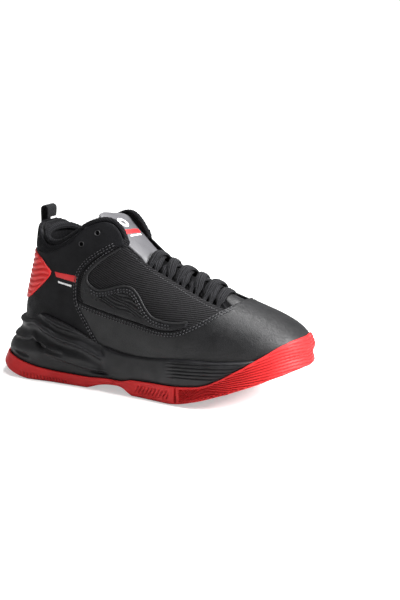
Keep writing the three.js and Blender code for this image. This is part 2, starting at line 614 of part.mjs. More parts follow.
function buildLaces() {
  const sideAt = (row) => (row % 2 ? -1 : 1);
  const turn = (row, side, up) => [-up * TURN, up * TURN].map((shift) => turnPoint(row, side, shift));
  const top = LACE_ROWS - 1;
  // Over the tongue's edge into the ankle, where the spare length is tucked beside the foot.
  const tuck = (side) => [[138, 18.6, 113.5], [124, 19.2, 108], [108, 18.4, 99], [94, 17, 89]].map(
    ([x, y, z]) => new THREE.Vector3(x, side * y, z),
  );
  const tip = (side) => new THREE.Vector3(84, side * 15.8, 81);
  const route = [tip(sideAt(top)), ...tuck(sideAt(top)).reverse()];
  const cross = (row, side, shift, nextRow, nextSide, nextShift, lift) =>
    route.push(...strand(turnPoint(row, side, shift), turnPoint(nextRow, nextSide, nextShift), lift));
  for (let row = top; row >= 0; row--) {
    route.push(...turn(row, sideAt(row), -1));
    if (row > 0) cross(row, sideAt(row), -TURN, row - 1, sideAt(row - 1), TURN, LACE_LIFT);
  }
  cross(0, sideAt(0), -TURN, 0, -sideAt(0), -TURN, 0);
  for (let row = 0; row <= top; row++) {
    route.push(...turn(row, -sideAt(row), 1));
    if (row < top) cross(row, -sideAt(row), TURN, row + 1, -sideAt(row + 1), -TURN, 0);
  }
  route.push(...tuck(-sideAt(top)), tip(-sideAt(top)));
  const curve = new THREE.CatmullRomCurve3(route, false, "centripetal");
  const path = curve.getPoints(Math.round(route.length * 1.3));
  const tucked = (p) => THREE.MathUtils.smoothstep(-p.x, -150, -138);
  const normals = path.map((p) => {
    const sideways = new THREE.Vector3(0, Math.sign(p.y), 0.01);
    return new THREE.Vector3(...tongueNormal(p.y)).lerp(sideways, tucked(p)).normalize();
  });
  const bunched = (i) => THREE.MathUtils.smoothstep(Math.abs(path[i].y), 10, 15);
  add("shoelace", "lace", sweep(path, normals, (i) => LACE_W - 3 * bunched(i), LACE_T, 6));

  for (const side of [-1, 1]) {
    const end = tip(side);
    const along = end.clone().sub(tuck(side).at(-1)).normalize();
    const aglet = new THREE.CylinderGeometry(AGLET_R, AGLET_R, AGLET_L, 8);
    aglet.applyQuaternion(new THREE.Quaternion().setFromUnitVectors(new THREE.Vector3(0, 1, 0), along));
    const middle = end.clone().addScaledVector(along, AGLET_L / 2 + GAP);
    add(`aglet_${side < 0 ? "lateral" : "medial"}`, "plastic", aglet.translate(...middle.toArray()));
  }
}

// A flat webbing ring round the lace at each turn.
function buildLaceLoops() {
  for (const [name, side] of HALVES)
    for (let row = 0; row < LACE_ROWS; row++) {
      const p = turnPoint(row, side);
      const along = turnPoint(row, side, 1).sub(turnPoint(row, side, -1)).normalize();
      const [w, h, thick, depth] = LOOP;
      const ring = new THREE.Shape(oval(w / 2 + thick, h / 2 + thick));
      ring.holes.push(new THREE.Path(oval(w / 2, h / 2)));
      const geometry = new THREE.ExtrudeGeometry(ring, { depth, bevelEnabled: false });
      geometry.translate(0, 0, -depth / 2);
      const out = new THREE.Vector3(...tongueNormal(p.y));
      const across = out.clone().cross(along).normalize();
      const up = along.clone().cross(across);
      geometry.applyMatrix4(new THREE.Matrix4().makeBasis(across, up, along).setPosition(p));
      add(`lace_loop_${name}_${row + 1}`, "woven", geometry);
    }
}

function oval(a, b, sides = 8) {
  return Array.from({ length: sides }, (_, k) => {
    const angle = (2 * Math.PI * (k + 0.5)) / sides;
    return new THREE.Vector2(a * Math.cos(angle), b * Math.sin(angle));
  });
}

buildUpper();
buildSole();
buildTongue();
buildPullTab();
buildLaces();
buildLaceLoops();

// The origin is under the middle of the shoe's box.
const box = new THREE.Box3().setFromObject(group);
const middle = box.getCenter(new THREE.Vector3());
group.position.set(-middle.x, -middle.y, -box.min.z);

export default group;
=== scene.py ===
"""Basketball high top, right foot: the visible surfaces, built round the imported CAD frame.

Design curves are in millimetres in the shoe's own axes: X from the back of the heel, Z from the ground and Y
towards the inner side of the foot. SHIFT moves them into the frame. Side +1 is the inner (medial) side of the
foot, and side -1 is the outer (lateral) side.
"""
import math

import bmesh
import bpy
import numpy as np
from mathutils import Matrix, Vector
from mathutils.bvhtree import BVHTree
from mathutils.geometry import delaunay_2d_cdt


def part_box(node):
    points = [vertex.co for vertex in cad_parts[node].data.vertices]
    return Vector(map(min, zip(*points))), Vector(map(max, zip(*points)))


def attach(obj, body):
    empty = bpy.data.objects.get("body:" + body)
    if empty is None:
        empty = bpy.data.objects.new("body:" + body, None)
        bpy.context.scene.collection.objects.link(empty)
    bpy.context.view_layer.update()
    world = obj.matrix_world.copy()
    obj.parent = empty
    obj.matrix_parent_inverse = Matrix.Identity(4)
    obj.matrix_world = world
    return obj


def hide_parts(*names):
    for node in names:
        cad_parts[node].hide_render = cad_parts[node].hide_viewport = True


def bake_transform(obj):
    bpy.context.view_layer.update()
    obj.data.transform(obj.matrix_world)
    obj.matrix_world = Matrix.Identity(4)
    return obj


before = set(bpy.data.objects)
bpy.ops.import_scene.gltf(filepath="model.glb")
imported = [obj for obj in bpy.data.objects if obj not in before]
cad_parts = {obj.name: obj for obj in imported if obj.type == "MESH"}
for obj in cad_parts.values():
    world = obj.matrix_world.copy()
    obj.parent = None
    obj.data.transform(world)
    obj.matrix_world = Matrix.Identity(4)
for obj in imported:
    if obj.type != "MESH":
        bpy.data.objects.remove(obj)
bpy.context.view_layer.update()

MM = 0.001
SHANK_CENTRE = (108.0, 0.0)  # the arch plate's centre ties the design curves to the frame
_low, _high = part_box("shank_plate")
SHIFT = np.array([(_low.x + _high.x) / 2 - SHANK_CENTRE[0] * MM,
                  (_low.y + _high.y) / 2 - SHANK_CENTRE[1] * MM, 0.0])
LATERAL, MEDIAL = -1, 1
SIDES = {"lateral": LATERAL, "medial": MEDIAL}

# ---------------------------------------------------------------------------- the upper's skin
# Sections of the skin, as in the CAD: back point, ridge point, centre line, half width, widest share and
# squareness below and above it.
SECTIONS = np.array([
    # xb, zb, xf, zf, yc, half, widest, low, high
    [297, 54, 297, 54, 8, 0, 0.35, 2.6, 2.2],
    [294, 48, 291, 62, 8, 17, 0.35, 2.8, 2.2],
    [284, 40, 280, 71, 7, 30, 0.34, 3.4, 2.2],
    [268, 31, 263, 79, 5, 40, 0.33, 4.2, 2.2],
    [247, 22.5, 243, 86, 3, 45.5, 0.32, 4.4, 2.2],
    [223, 15.5, 221, 93.5, 2, 48, 0.31, 4.4, 2.2],
    [198, 13, 199, 101.5, 1, 48, 0.31, 4.4, 2.2],
    [171, 14, 178, 110, 0, 45, 0.32, 4.4, 2.2],
    [142, 16, 162, 119.5, 0, 41, 0.34, 4.2, 2.2],
    [110, 17, 152, 129, 0, 38, 0.36, 4, 2.2],
    [76, 19, 146, 139, 0, 36, 0.38, 3.6, 2.2],
    [43, 22, 142, 149, 0, 35, 0.38, 3.2, 2.2],
    [18, 33, 138, 158, 0, 34, 0.38, 2.6, 2.2],
    [13.5, 55, 133, 166, 0, 33.5, 0.36, 2.3, 2.2],
    [18.5, 82, 127, 174, 0, 33, 0.36, 2.2, 2.2],
    [25, 108, 119, 182, 0, 32.5, 0.38, 2.2, 2.2],
    [29, 132, 110, 190, 0, 32.5, 0.4, 2.2, 2.2],
    [31, 152, 100, 196, 0, 32.5, 0.42, 2.2, 2.2],
], float)
BED_ROWS = 13  # the first sections stand on the insole board

# Side-view outlines (x, z).
COLLAR = [(30, 147), (36, 142.5), (44, 135), (54, 129), (66, 131), (79, 139), (93, 149), (106, 154),
          (116, 153), (124, 146), (131, 133)]
THROAT = [(131, 131), (155, 115), (186, 101), (214, 90), (236, 83)]
QUARTER_SEAM = [(140, 142), (129, 135), (120, 130.5), (108, 123.5), (96, 115), (88, 105), (85, 93),
                (85.5, 80.5), (89, 71.5), (95, 63), (102, 52.6), (109, 43), (118, 30), (124, 5)]
TOE_SEAM = [(78, 79.5), (90, 77), (106, 73.5), (123, 70.5), (144, 67.7), (164, 65), (178, 63.7), (192, 65),
            (203, 69.3), (216, 76.5), (227, 83.5), (237, 90), (250, 104)]
PAD_SEAM = [(10, 124), (20, 124), (38, 121), (52, 121), (64, 125), (78, 133), (88, 143), (94, 150)]
OVERLAY_TOP = [(128, 132), (112, 121.5), (101.5, 112.5), (95, 104.5), (95.5, 97), (104, 91.5), (113, 91.5),
               (130, 96.5), (141, 96.5), (149.5, 90.5), (157.5, 81.5), (166, 74.7), (176, 72), (191, 71.5),
               (204, 73.8)]
OVERLAY_BACK = [(89, 84), (88.8, 94), (91.5, 104), (99, 113.5), (115, 125)]
OVERLAY_FIELD = [(107, 88.5), (116, 88.5), (131, 93.5), (141, 93.5), (148, 87.5), (156, 78), (162, 72),
                 (142, 73.3), (114, 79.5)]
COUNTER = [(20, 120.5), (34, 119.5), (44, 115.5), (52, 108.5), (56.5, 102), (49, 92.5), (37, 81.5), (26, 74),
           (12, 70)]
PUNCHES = [(103, 142.5), (88, 131.5)]
RED_BAR = [(60.5, 103.8), (83.5, 102.2), (83, 95.5), (62, 98.6)]
WHITE_BAR = [(64, 95.6), (79, 93.2), (78.6, 91), (64.4, 93.2)]


def catmull(rows, s):
    """Catmull-Rom interpolation of rows of numbers at positions s, which count rows."""
    rows = np.asarray(rows, float)
    s = np.asarray(s, float)
    ends = np.vstack([2 * rows[0] - rows[1], rows, 2 * rows[-1] - rows[-2]])
    i = np.clip(np.floor(s).astype(int), 0, len(rows) - 2)
    f = (s - i)[..., None]
    a, b, c, d = ends[i], ends[i + 1], ends[i + 2], ends[i + 3]
    return 0.5 * (2 * b + (c - a) * f + (2 * a - 5 * b + 4 * c - d) * f**2 + (3 * b - 3 * c + d - a) * f**3)


def unit(v):
    """Vectors along the last axis, made one long."""
    return v / np.maximum(np.linalg.norm(v, axis=-1, keepdims=True), 1e-9)


def distances(points):
    """How far along a line each of its points lies."""
    return np.concatenate([[0], np.cumsum(np.linalg.norm(np.diff(points, axis=0), axis=1))])


def read_off(at, length, values):
    """Rows of values at places along a line whose own places are length."""
    return np.stack([np.interp(at, length, values[:, k]) for k in range(values.shape[1])], -1)


def curve(points, step=1.5, closed=False):
    """A smooth curve through the points, with its own points about step apart."""
    fineness = 60
    points = np.asarray(points, float)
    if closed:
        points = np.vstack([points[-2:], points, points[:3]])
    fine = catmull(points, np.linspace(0, len(points) - 1, fineness * len(points)))
    if closed:
        per = fineness * len(points) / (len(points) - 1)
        fine = fine[int(2 * per):int((len(points) - 3) * per) + 1]
    length = distances(fine)
    n = max(int(round(length[-1] / step)), 2)
    out = read_off(np.linspace(0, length[-1], n + 1), length, fine)
    return out[:-1] if closed else out


def smoothstep(x, low, high):
    t = np.clip((np.asarray(x, float) - low) / (high - low), 0, 1)
    return t * t * (3 - 2 * t)


def window(x, a, b, c, d):
    """0 below a, rising to 1 at b, and from 1 at c falling to 0 at d."""
    return smoothstep(x, a, b) * (1 - smoothstep(x, c, d))


def rounding(edge, radius):
    """How far a rounded edge drops at a distance from it."""
    return np.where(edge < radius, radius - np.sqrt(np.maximum(radius**2 - (radius - edge) ** 2, 0)), 0)


def power(x, e):
    """A power of x that keeps its sign."""
    return np.sign(x) * np.abs(x) ** e


class Skin:
    """The upper's outer surface as a table over (s, w).

    s counts sections, and w goes from the sole or heel back (0) to the ridge (1) along one side.
    """

    S = np.linspace(0.02, 17, 340)
    W = np.linspace(0, 1, 361)

    def __init__(self):
        rows = catmull(SECTIONS, self.S)
        half = np.pi / 2
        near = half * (1 - np.linspace(1, 0, 260) ** 3)
        a = np.concatenate([near, half + half * np.linspace(0, 1, 240)[1:] ** 2])
        xb, zb, xf, zf, _, wide, widest, low, high = (rows[:, k, None] for k in range(9))
        below = (a <= half)[None]
        e = np.where(below, 2 / low, 2 / high)
        c = np.abs(np.cos(a))[None] ** e
        t = np.where(below, widest * (1 - c), widest + (1 - widest) * c)
        h = wide * np.abs(np.sin(a))[None] ** e
        h[:, 0] = 0
        h[:, -1] = 0
        p = np.stack([xb + (xf - xb) * t, h, zb + (zf - zb) * t, t], -1)
        length = np.stack([distances(row[:, :3]) for row in p])
        self.length = length[:, -1]
        self.p = np.stack([read_off(self.W * along[-1], along, row) for along, row in zip(length, p)])
        self.centre = rows[:, 4]
        ds = np.gradient(self.p[..., :3], axis=0)
        dw = np.gradient(self.p[..., :3], axis=1)
        dw[:, 0] = dw[:, -1] = (0, 1, 0)
        n = np.cross(ds, dw)
        n[:, 0, 1] = n[:, -1, 1] = 0
        n = unit(n)
        middle = np.concatenate([(xb + xf) / 2, 0 * xb, (zb + zf) / 2], 1)
        self.n = n * np.sign((n * (self.p[..., :3] - middle[:, None])).sum(2, keepdims=True))

    def sample(self, table, s, w):
        fs = np.clip((np.asarray(s, float) - self.S[0]) / (self.S[1] - self.S[0]), 0, len(self.S) - 1.001)
        fw = np.clip(np.abs(w) * (len(self.W) - 1), 0, len(self.W) - 1.001)
        i, j = fs.astype(int), fw.astype(int)
        a, b = (fs - i)[..., None], (fw - j)[..., None]
        return ((table[i, j] * (1 - b) + table[i, j + 1] * b) * (1 - a)
                + (table[i + 1, j] * (1 - b) + table[i + 1, j + 1] * b) * a)

    def at(self, s, w, offset=0.0):
        """Points and outward normals. The sign of w is the side of the foot."""
        side = np.where(np.asarray(w) < 0, -1.0, 1.0)
        p = self.sample(self.p, s, w)[..., :3]
        n = unit(self.sample(self.n, s, w))
        p[..., 1] = np.interp(s, self.S, self.centre) + side * p[..., 1]
        n[..., 1] *= side
        return p + n * np.asarray(offset)[..., None], n

    def perimeter(self, s):
        return np.interp(s, self.S, self.length)

    def locate(self, xz, side=1):
        """(s, w) of side-view points, with the sign of the side on w."""
        xz = np.asarray(xz, float)
        x, z = xz[:, 0], xz[:, 1]
        near, far = np.full(len(x), self.S[0]), np.full(len(x), self.S[-1])
        for _ in range(40):
            s = (near + far) / 2
            r = catmull(SECTIONS, s)
            ahead = (x - r[:, 0]) * (r[:, 3] - r[:, 1]) - (z - r[:, 1]) * (r[:, 2] - r[:, 0]) > 0
            near, far = np.where(ahead, near, s), np.where(ahead, s, far)
        t = share_up(xz, near)
        low, high = np.zeros(len(x)), np.ones(len(x))
        for _ in range(30):
            w = (low + high) / 2
            under = self.sample(self.p, near, w)[:, 3] < t
            low, high = np.where(under, w, low), np.where(under, high, w)
        return np.stack([near, side * np.maximum(w, 1e-6)], 1)


def share_up(xz, s):
    """How far side-view points are from a section's back point (0) to its ridge point (1)."""
    r = catmull(SECTIONS, s)
    dx, dz = r[:, 2] - r[:, 0], r[:, 3] - r[:, 1]
    return ((xz[:, 0] - r[:, 0]) * dx + (xz[:, 1] - r[:, 1]) * dz) / (dx**2 + dz**2)


SKIN = Skin()
S_SCALE = 24.0  # millimetres in a chart for one section


def to_chart(sw, crossing):
    """A flat chart in about millimetres, continuous over the heel back or over the ridge."""
    s, w = np.asarray(sw).T
    v = w if crossing == "back" else np.sign(w) * (1 - np.abs(w))
    return np.stack([s * S_SCALE, v * SKIN.perimeter(s)], 1)


def from_chart(uv, crossing):
    s = uv[:, 0] / S_SCALE
    share = np.clip(uv[:, 1] / SKIN.perimeter(s), -1, 1)
    if crossing == "ridge":
        share = np.where(share < 0, -1.0, 1.0) * (1 - np.abs(share))
    return np.stack([s, share], 1)


def on(points, side):
    """Side-view points as (s, w) on one side."""
    return SKIN.locate(points, side)


def over(line, side, lift=0.0):
    """Points and normals at a height over the skin, on a side-view line."""
    return SKIN.at(*on(line, side).T, lift)


def bed(x):
    """Height of the skin's floor, which the insole lies in."""
    rows = SECTIONS[:BED_ROWS][::-1]
    return np.interp(x, rows[:, 0], rows[:, 1])


# ---------------------------------------------------------------------------- meshes
def inside(points, polygon):
    """Which of the points lie in a closed polygon."""
    x, y = points[:, 0, None], points[:, 1, None]
    x0, y0 = polygon[None, :, 0], polygon[None, :, 1]
    x1, y1 = np.roll(polygon[:, 0], -1)[None], np.roll(polygon[:, 1], -1)[None]
    across = (y0 > y) != (y1 > y)
    with np.errstate(divide="ignore", invalid="ignore"):
        hit = across & (x < (x1 - x0) * (y - y0) / (y1 - y0) + x0)
    return hit.sum(1) % 2 == 1


def within(points, loops):
    """Which of the points lie in the first loop and outside the others, which are holes."""
    keep = inside(points, loops[0])
    for hole in loops[1:]:
        keep &= ~inside(points, hole)
    return keep


def gap_to(points, line):
    """Distance of each point to a closed line of points."""
    batch = 64
    best = np.full(len(points), 1e9)
    for k in range(0, len(line), batch):
        p, q = line[k:k + batch], np.roll(line, -1, axis=0)[k:k + batch]
        d = q - p
        t = np.clip(((points[:, None] - p[None]) * d[None]).sum(2) / np.maximum((d**2).sum(1), 1e-12), 0, 1)
        gap = np.linalg.norm(points[:, None] - (p[None] + t[..., None] * d[None]), axis=2)
        best = np.minimum(best, gap.min(1))
    return best


def nearest_gap(points, loops):
    return np.min([gap_to(points, loop) for loop in loops], axis=0)


def raster(border, step, stagger=0.0):
    """A grid of points over a border's box, with every other row moved by stagger."""
    low, high = border.min(0), border.max(0)
    grid = np.stack(np.meshgrid(np.arange(low[0], high[0], step), np.arange(low[1], high[1], step)), -1)
    grid[::2, :, 0] += stagger
    return grid.reshape(-1, 2)


def triangulate(loops, inner, tolerance=1e-6):
    """Flat points and triangles that fill the first loop round the others, through the inner points."""
    edges = []
    for loop in loops:
        start, n = len(edges), len(loop)
        edges += [(start + k, start + (k + 1) % n) for k in range(n)]
    points = [Vector(p) for p in np.vstack([*loops, *inner])]
    verts, _, faces, _, _, _ = delaunay_2d_cdt(points, edges, [], 0, tolerance)
    flat = np.array([tuple(v) for v in verts])
    faces = np.array([tuple(f) for f in faces])
    return flat, faces[within(flat[faces].mean(1), loops)]


def new_piece(name, points, faces, uv=None, edge=None, sharp=40.0, slot=None, body="shoe", look=None):
    """A mesh piece from points in shoe millimetres.

    uv is per point. edge is the distance to a panel's edge, or the depth of a groove that gets painted shade.
    """
    mesh = bpy.data.meshes.new(name)
    mesh.from_pydata((np.asarray(points) * MM + SHIFT).tolist(), [], [tuple(f) for f in faces])
    mesh.update()
    if uv is not None:
        layer = mesh.uv_layers.new(name="chart")
        index = np.empty(len(mesh.loops), int)
        mesh.loops.foreach_get("vertex_index", index)
        layer.data.foreach_set("uv", np.asarray(uv, np.float32)[index].ravel())
    if edge is not None:
        attribute = mesh.attributes.new("edge", "FLOAT", "POINT")
        attribute.data.foreach_set("value", np.asarray(edge, np.float32))
    mesh.shade_smooth()
    mesh.set_sharp_from_angle(angle=math.radians(sharp))
    mesh.materials.append(MATERIALS[look])
    piece = bpy.data.objects.new(name, mesh)
    bpy.context.scene.collection.objects.link(piece)
    if body is not None:
        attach(piece, body)
    return piece


def sheet(name, top, bottom, normals, faces, uv, edge, **kind):
    """A closed thin piece between an upper and a lower surface with the same triangles."""
    one = top[faces]
    if (np.cross(one[:, 1] - one[:, 0], one[:, 2] - one[:, 0]) * normals[faces[:, 0]]).sum() < 0:
        faces = faces[:, ::-1]
    count = len(top)
    pairs = np.vstack([faces[:, [0, 1]], faces[:, [1, 2]], faces[:, [2, 0]]])
    keys = {(a, b) for a, b in pairs.tolist()}
    walls = [(b, a, a + count, b + count) for a, b in keys if (b, a) not in keys]
    every = [*faces.tolist(), *(faces[:, ::-1] + count).tolist(), *walls]
    both = np.vstack([top, bottom])
    return new_piece(name, both, every, np.vstack([uv, uv]), np.concatenate([edge, edge]), **kind)


def panel(name, outline, crossing, outer=0.0, inner=-1.6, roundness=0.7, step=2.2, holes=(), relief=None,
          inner_relief=None, **kind):
    """A sheet on the skin inside an outline of (s, w).

    relief(points, edge) adds to the outer surface's offset, and inner_relief to the inner one's.
    """
    loops = [to_chart(loop, crossing) for loop in (outline, *holes)]
    grid = raster(loops[0], step, step / 2)
    insets = []
    for loop in loops:
        t = unit(np.roll(loop, -1, 0) - np.roll(loop, 1, 0))
        for d in (0.3 * roundness, roundness, -0.3 * roundness, -roundness):
            insets.append(loop + d * np.stack([-t[:, 1], t[:, 0]], 1))
    insets = np.vstack(insets)
    grid, insets = grid[within(grid, loops)], insets[within(insets, loops)]
    insets = insets[nearest_gap(insets, loops) > 0.28 * roundness]
    grid = grid[nearest_gap(grid, loops) > roundness + 0.3 * step]
    uv, faces = triangulate(loops, [insets, grid], 1e-5)
    used, back = np.unique(faces, return_inverse=True)
    uv, faces = uv[used], back.reshape(faces.shape)
    sw = from_chart(uv, crossing).T
    flat, _ = SKIN.at(*sw)
    edge = nearest_gap(uv, loops)
    lift = outer - rounding(edge, roundness) + (relief(flat, edge) if relief else 0)
    under = np.minimum(inner, lift - 0.15) + (inner_relief(flat, edge) if inner_relief else 0)
    top, normals = SKIN.at(*sw, lift)
    bottom, _ = SKIN.at(*sw, under)
    return sheet(name, top, bottom, normals, faces, uv, edge, **kind)


def grid_faces(rows, columns, closed=False):
    """Quads of a grid of points. closed joins the last column to the first."""
    faces = []
    for i in range(rows - 1):
        for j in range(columns if closed else columns - 1):
            here, next_j = i * columns, (j + 1) % columns
            faces.append((here + j, here + next_j, here + columns + next_j, here + columns + j))
    return faces


def tube_faces(rows, sides):
    """Faces of a closed tube of rings, with its two ends."""
    last = (rows - 1) * sides
    return [*grid_faces(rows, sides, True), tuple(range(sides))[::-1], tuple(range(last, last + sides))]


def sweep(points, normals, widths, depths, sides=16, squareness=2.0, ribs=0.0, rib_count=10):
    """Rings of a flat-oval section along points. Returns points, faces and uv in millimetres."""
    along = unit(np.gradient(points, axis=0))
    across = unit(np.cross(normals, along))
    up = np.cross(along, across)
    n = len(points)
    a = 2 * np.pi * (np.arange(sides) + 0.5) / sides
    swell = 1 + ribs * np.cos(a * rib_count)[None]
    wide = np.broadcast_to(widths, n)[:, None] / 2 * power(np.cos(a), 2 / squareness) * swell
    deep = np.broadcast_to(depths, n)[:, None] / 2 * power(np.sin(a), 2 / squareness) * swell
    verts = points[:, None] + across[:, None] * wide[..., None] + up[:, None] * deep[..., None]
    uv = np.stack([np.repeat(distances(points), sides), np.tile(np.arange(sides) / sides, n)], 1)
    return verts.reshape(-1, 3), tube_faces(n, sides), uv


class Solid:
    """Collects points and faces, and welds them where they meet."""

    def __init__(self):
        self.points, self.faces, self.depth, self.count = [], [], [], 0

    def add(self, points, faces, depth=None):
        self.depth.append(np.zeros(len(points)) if depth is None else depth)
        self.faces += [tuple(self.count + i for i in f) for f in faces]
        self.points.append(points)
        self.count += len(points)

    def piece(self, name, **kind):
        made = new_piece(name, np.vstack(self.points), self.faces, None, np.concatenate(self.depth), **kind)
        mesh = bmesh.new()
        mesh.from_mesh(made.data)
        bmesh.ops.remove_doubles(mesh, verts=mesh.verts, dist=0.02 * MM)
        bmesh.ops.recalc_face_normals(mesh, faces=mesh.faces)
        mesh.to_mesh(made.data)
        mesh.free()
        made.data.update()
        return made


# ---------------------------------------------------------------------------- seams
STITCHES, BEADS, RIMS = [], [], []
# Where each ring of a stitch is along it, and the ring's share of the radius.
STITCH_SHAPE = [(-0.5, 0.15), (-0.42, 0.8), (-0.15, 1.0), (0.15, 1.0), (0.42, 0.8), (0.5, 0.15)]
STITCH_SIDES = 6
STITCH_SINK = 0.05
BEAD_R, BEAD_RISE, BEAD_SINK = 0.75, 0.25, 0.45


def stitch(points, normals, pitch=3.2, length=2.1, radius=0.5):
    """A row of stitches along points that lie on a surface."""
    along = distances(points)
    at = np.arange(pitch / 2, along[-1] - pitch / 2, pitch)
    if not len(at):
        return
    middle = read_off(at, along, points)
    n = read_off(at, along, normals)
    t = unit(read_off(at + 0.5, along, points) - middle)
    n = unit(n - t * (n * t).sum(1, keepdims=True))
    b = np.cross(n, t)
    rings = []
    for x, r in STITCH_SHAPE:
        for a in 2 * np.pi * np.arange(STITCH_SIDES) / STITCH_SIDES:
            dip = -1.2 * radius * (2 * abs(x)) ** 3
            rings.append(middle + t * (x * length) + b * (r * radius * np.cos(a))
                         + n * (r * radius * np.sin(a) + STITCH_SINK + dip))
    STITCHES.extend(np.stack(rings, 1))


def stitch_line(line, side, lift, bead=True, **more):
    """Stitches on a side-view line, on a panel whose face is lift over the skin, on a low raised bead."""
    points, normals = over(line, side, lift + (BEAD_RISE if bead else 0.0))
    stitch(points, normals, **more)
    if bead:
        middle, _ = over(line, side, lift - BEAD_SINK)
        BEADS.append(sweep(middle, normals, 2 * BEAD_R, 2 * BEAD_R, sides=8))


def finish_seams():
    """The seam beads as one piece, the rims of the punched holes as another, and all stitches as a third."""
    # The rims of the punched holes take the paler plastic: a painted highlight round each hole.
    for name, parts, look in (("seam_beads", BEADS, "seam"), ("hole_rims", RIMS, "plastic")):
        solid = Solid()
        for verts, faces, _ in parts:
            solid.add(verts, faces)
        solid.piece(name, slot="smooth_leather", look=look)
    faces, count = [], len(STITCH_SHAPE) * STITCH_SIDES
    for k in range(len(STITCHES)):
        faces += [tuple(k * count + i for i in face) for face in tube_faces(len(STITCH_SHAPE), STITCH_SIDES)]
    new_piece("stitches_upper", np.vstack(STITCHES), faces, slot="webbing", look="thread")


# ---------------------------------------------------------------------------- materials
def node(tree, kind, inputs=None, **settings):
    made = tree.nodes.new("ShaderNode" + kind)
    for key, value in settings.items():
        setattr(made, key, value)
    for key, value in (inputs or {}).items():
        if isinstance(value, bpy.types.NodeSocket):
            tree.links.new(value, made.inputs[key])
        else:
            made.inputs[key].default_value = value
    return made


def math_node(tree, operation, *values):
    return node(tree, "Math", dict(enumerate(values)), operation=operation).outputs[0]


def map_range(tree, value, low, high, to_low=0.0, to_high=1.0):
    return node(tree, "MapRange", {"Value": value, "From Min": low, "From Max": high, "To Min": to_low,
                                   "To Max": to_high}).outputs["Result"]


def surface(name, roughness, **fixed):
    """A material and its tree and shader. fixed sets the shader's own sockets."""
    material = bpy.data.materials.new(name)
    material.use_nodes = True
    tree = material.node_tree
    shader = tree.nodes["Principled BSDF"]
    shader.inputs["Roughness"].default_value = roughness
    for key, value in fixed.items():
        shader.inputs[key.replace("_", " ").title().replace("Ior", "IOR")].default_value = value
    return material, tree, shader


def noise(tree, scale, detail):
    where = node(tree, "TexCoord").outputs["Object"]
    return node(tree, "TexNoise", {"Vector": where, "Scale": scale, "Detail": detail}).outputs["Fac"]


def blotches(tree, scale, to=(0.0, 1.0)):
    """A soft noise between the values of to."""
    return map_range(tree, noise(tree, scale, 3.0), 0.35, 0.65, *to)


def two_tone(tree, shader, factor, dark, light):
    mix = node(tree, "Mix", {"Factor": factor}, data_type="RGBA")
    mix.inputs["A"].default_value = (*dark, 1)
    mix.inputs["B"].default_value = (*light, 1)
    tree.links.new(mix.outputs["Result"], shader.inputs["Base Color"])
    return mix


def bump(tree, shader, height, distance, strength=1.0):
    made = node(tree, "Bump", {"Height": height, "Distance": distance, "Strength": strength})
    tree.links.new(made.outputs["Normal"], shader.inputs["Normal"])


def leather(name, dark, light, rough, grain=900.0, depth=0.00012, shine=0.5):
    """Leather with a pebbled grain, uneven gloss and paler cut edges."""
    material, tree, shader = surface(name, rough[0], specular_ior_level=shine)
    where = node(tree, "TexCoord").outputs["Object"]
    cells = node(tree, "TexVoronoi", {"Vector": where, "Scale": grain}, feature="DISTANCE_TO_EDGE")
    grooves = map_range(tree, cells.outputs["Distance"], 0.0, 0.18)
    height = math_node(tree, "MULTIPLY_ADD", noise(tree, grain * 2.4, 4.0), 0.35, grooves)
    bump(tree, shader, height, depth, 0.6)
    edge = node(tree, "Attribute", attribute_name="edge").outputs["Fac"]
    worn = map_range(tree, edge, 0.1, 0.9, 1.0, 0.0)
    factor = math_node(tree, "MAXIMUM", blotches(tree, 55.0, to=(0.0, 0.75)), worn)
    two_tone(tree, shader, factor, dark, light)
    tree.links.new(blotches(tree, 120.0, to=rough), shader.inputs["Roughness"])
    return material


def wave(tree, value, pitch):
    """0..1 ripples along a value in millimetres, pitch apart."""
    turns = math_node(tree, "MULTIPLY", value, 2 * math.pi / pitch)
    return math_node(tree, "MULTIPLY_ADD", math_node(tree, "SINE", turns), 0.5, 0.5)


def cloth(name, dark, light, axes, pitch, finer, cut_in, fuzz, depth, rough):
    """Cloth with raised ribs crossed by finer yarns. axes(tree) gives the values that they run along."""
    sheen = dict(sheen_weight=0.03, sheen_roughness=0.4, specular_ior_level=0.12)
    material, tree, shader = surface(name, rough, **sheen)
    first, second = axes(tree)
    yarns = math_node(tree, "MULTIPLY_ADD", wave(tree, second, pitch * finer), cut_in, 1 - cut_in)
    mixed = math_node(tree, "MULTIPLY", wave(tree, first, pitch), yarns)
    height = math_node(tree, "ADD", mixed, blotches(tree, 2500.0, to=(-fuzz, fuzz)))
    # Painted shade: the colour follows the weave's height, darker in the hollows between the yarns.
    two_tone(tree, shader, height, dark, light)
    bump(tree, shader, height, depth)
    return material


def woven(name, dark, light, pitch=1.25, slope=0.55, depth=0.0003):
    """Cloth whose ribs follow a piece's own chart."""

    def axes(tree):
        split = node(tree, "SeparateXYZ", {"Vector": node(tree, "UVMap", uv_map="chart").outputs["UV"]})
        u, v = split.outputs["X"], split.outputs["Y"]
        return math_node(tree, "MULTIPLY_ADD", u, slope, v), math_node(tree, "MULTIPLY_ADD", v, -slope, u)

    return cloth(name, dark, light, axes, pitch, 0.7, 0.5, 0.15, depth, 0.86)


def solid_knit(name, dark, light, pitch=1.5, depth=0.0003):
    """Knitted cloth whose ribs run round the object, for pieces without a chart."""

    def axes(tree):
        split = node(tree, "SeparateXYZ", {"Vector": node(tree, "TexCoord").outputs["Object"]})
        x, y, z = (split.outputs[k] for k in "XYZ")
        down = math_node(tree, "MULTIPLY_ADD", x, 620.0, math_node(tree, "MULTIPLY", z, 780.0))
        return down, math_node(tree, "MULTIPLY_ADD", y, 1000.0, math_node(tree, "MULTIPLY", x, 350.0))

    return cloth(name, dark, light, axes, pitch, 0.6, 0.35, 0.12, depth, 0.9)


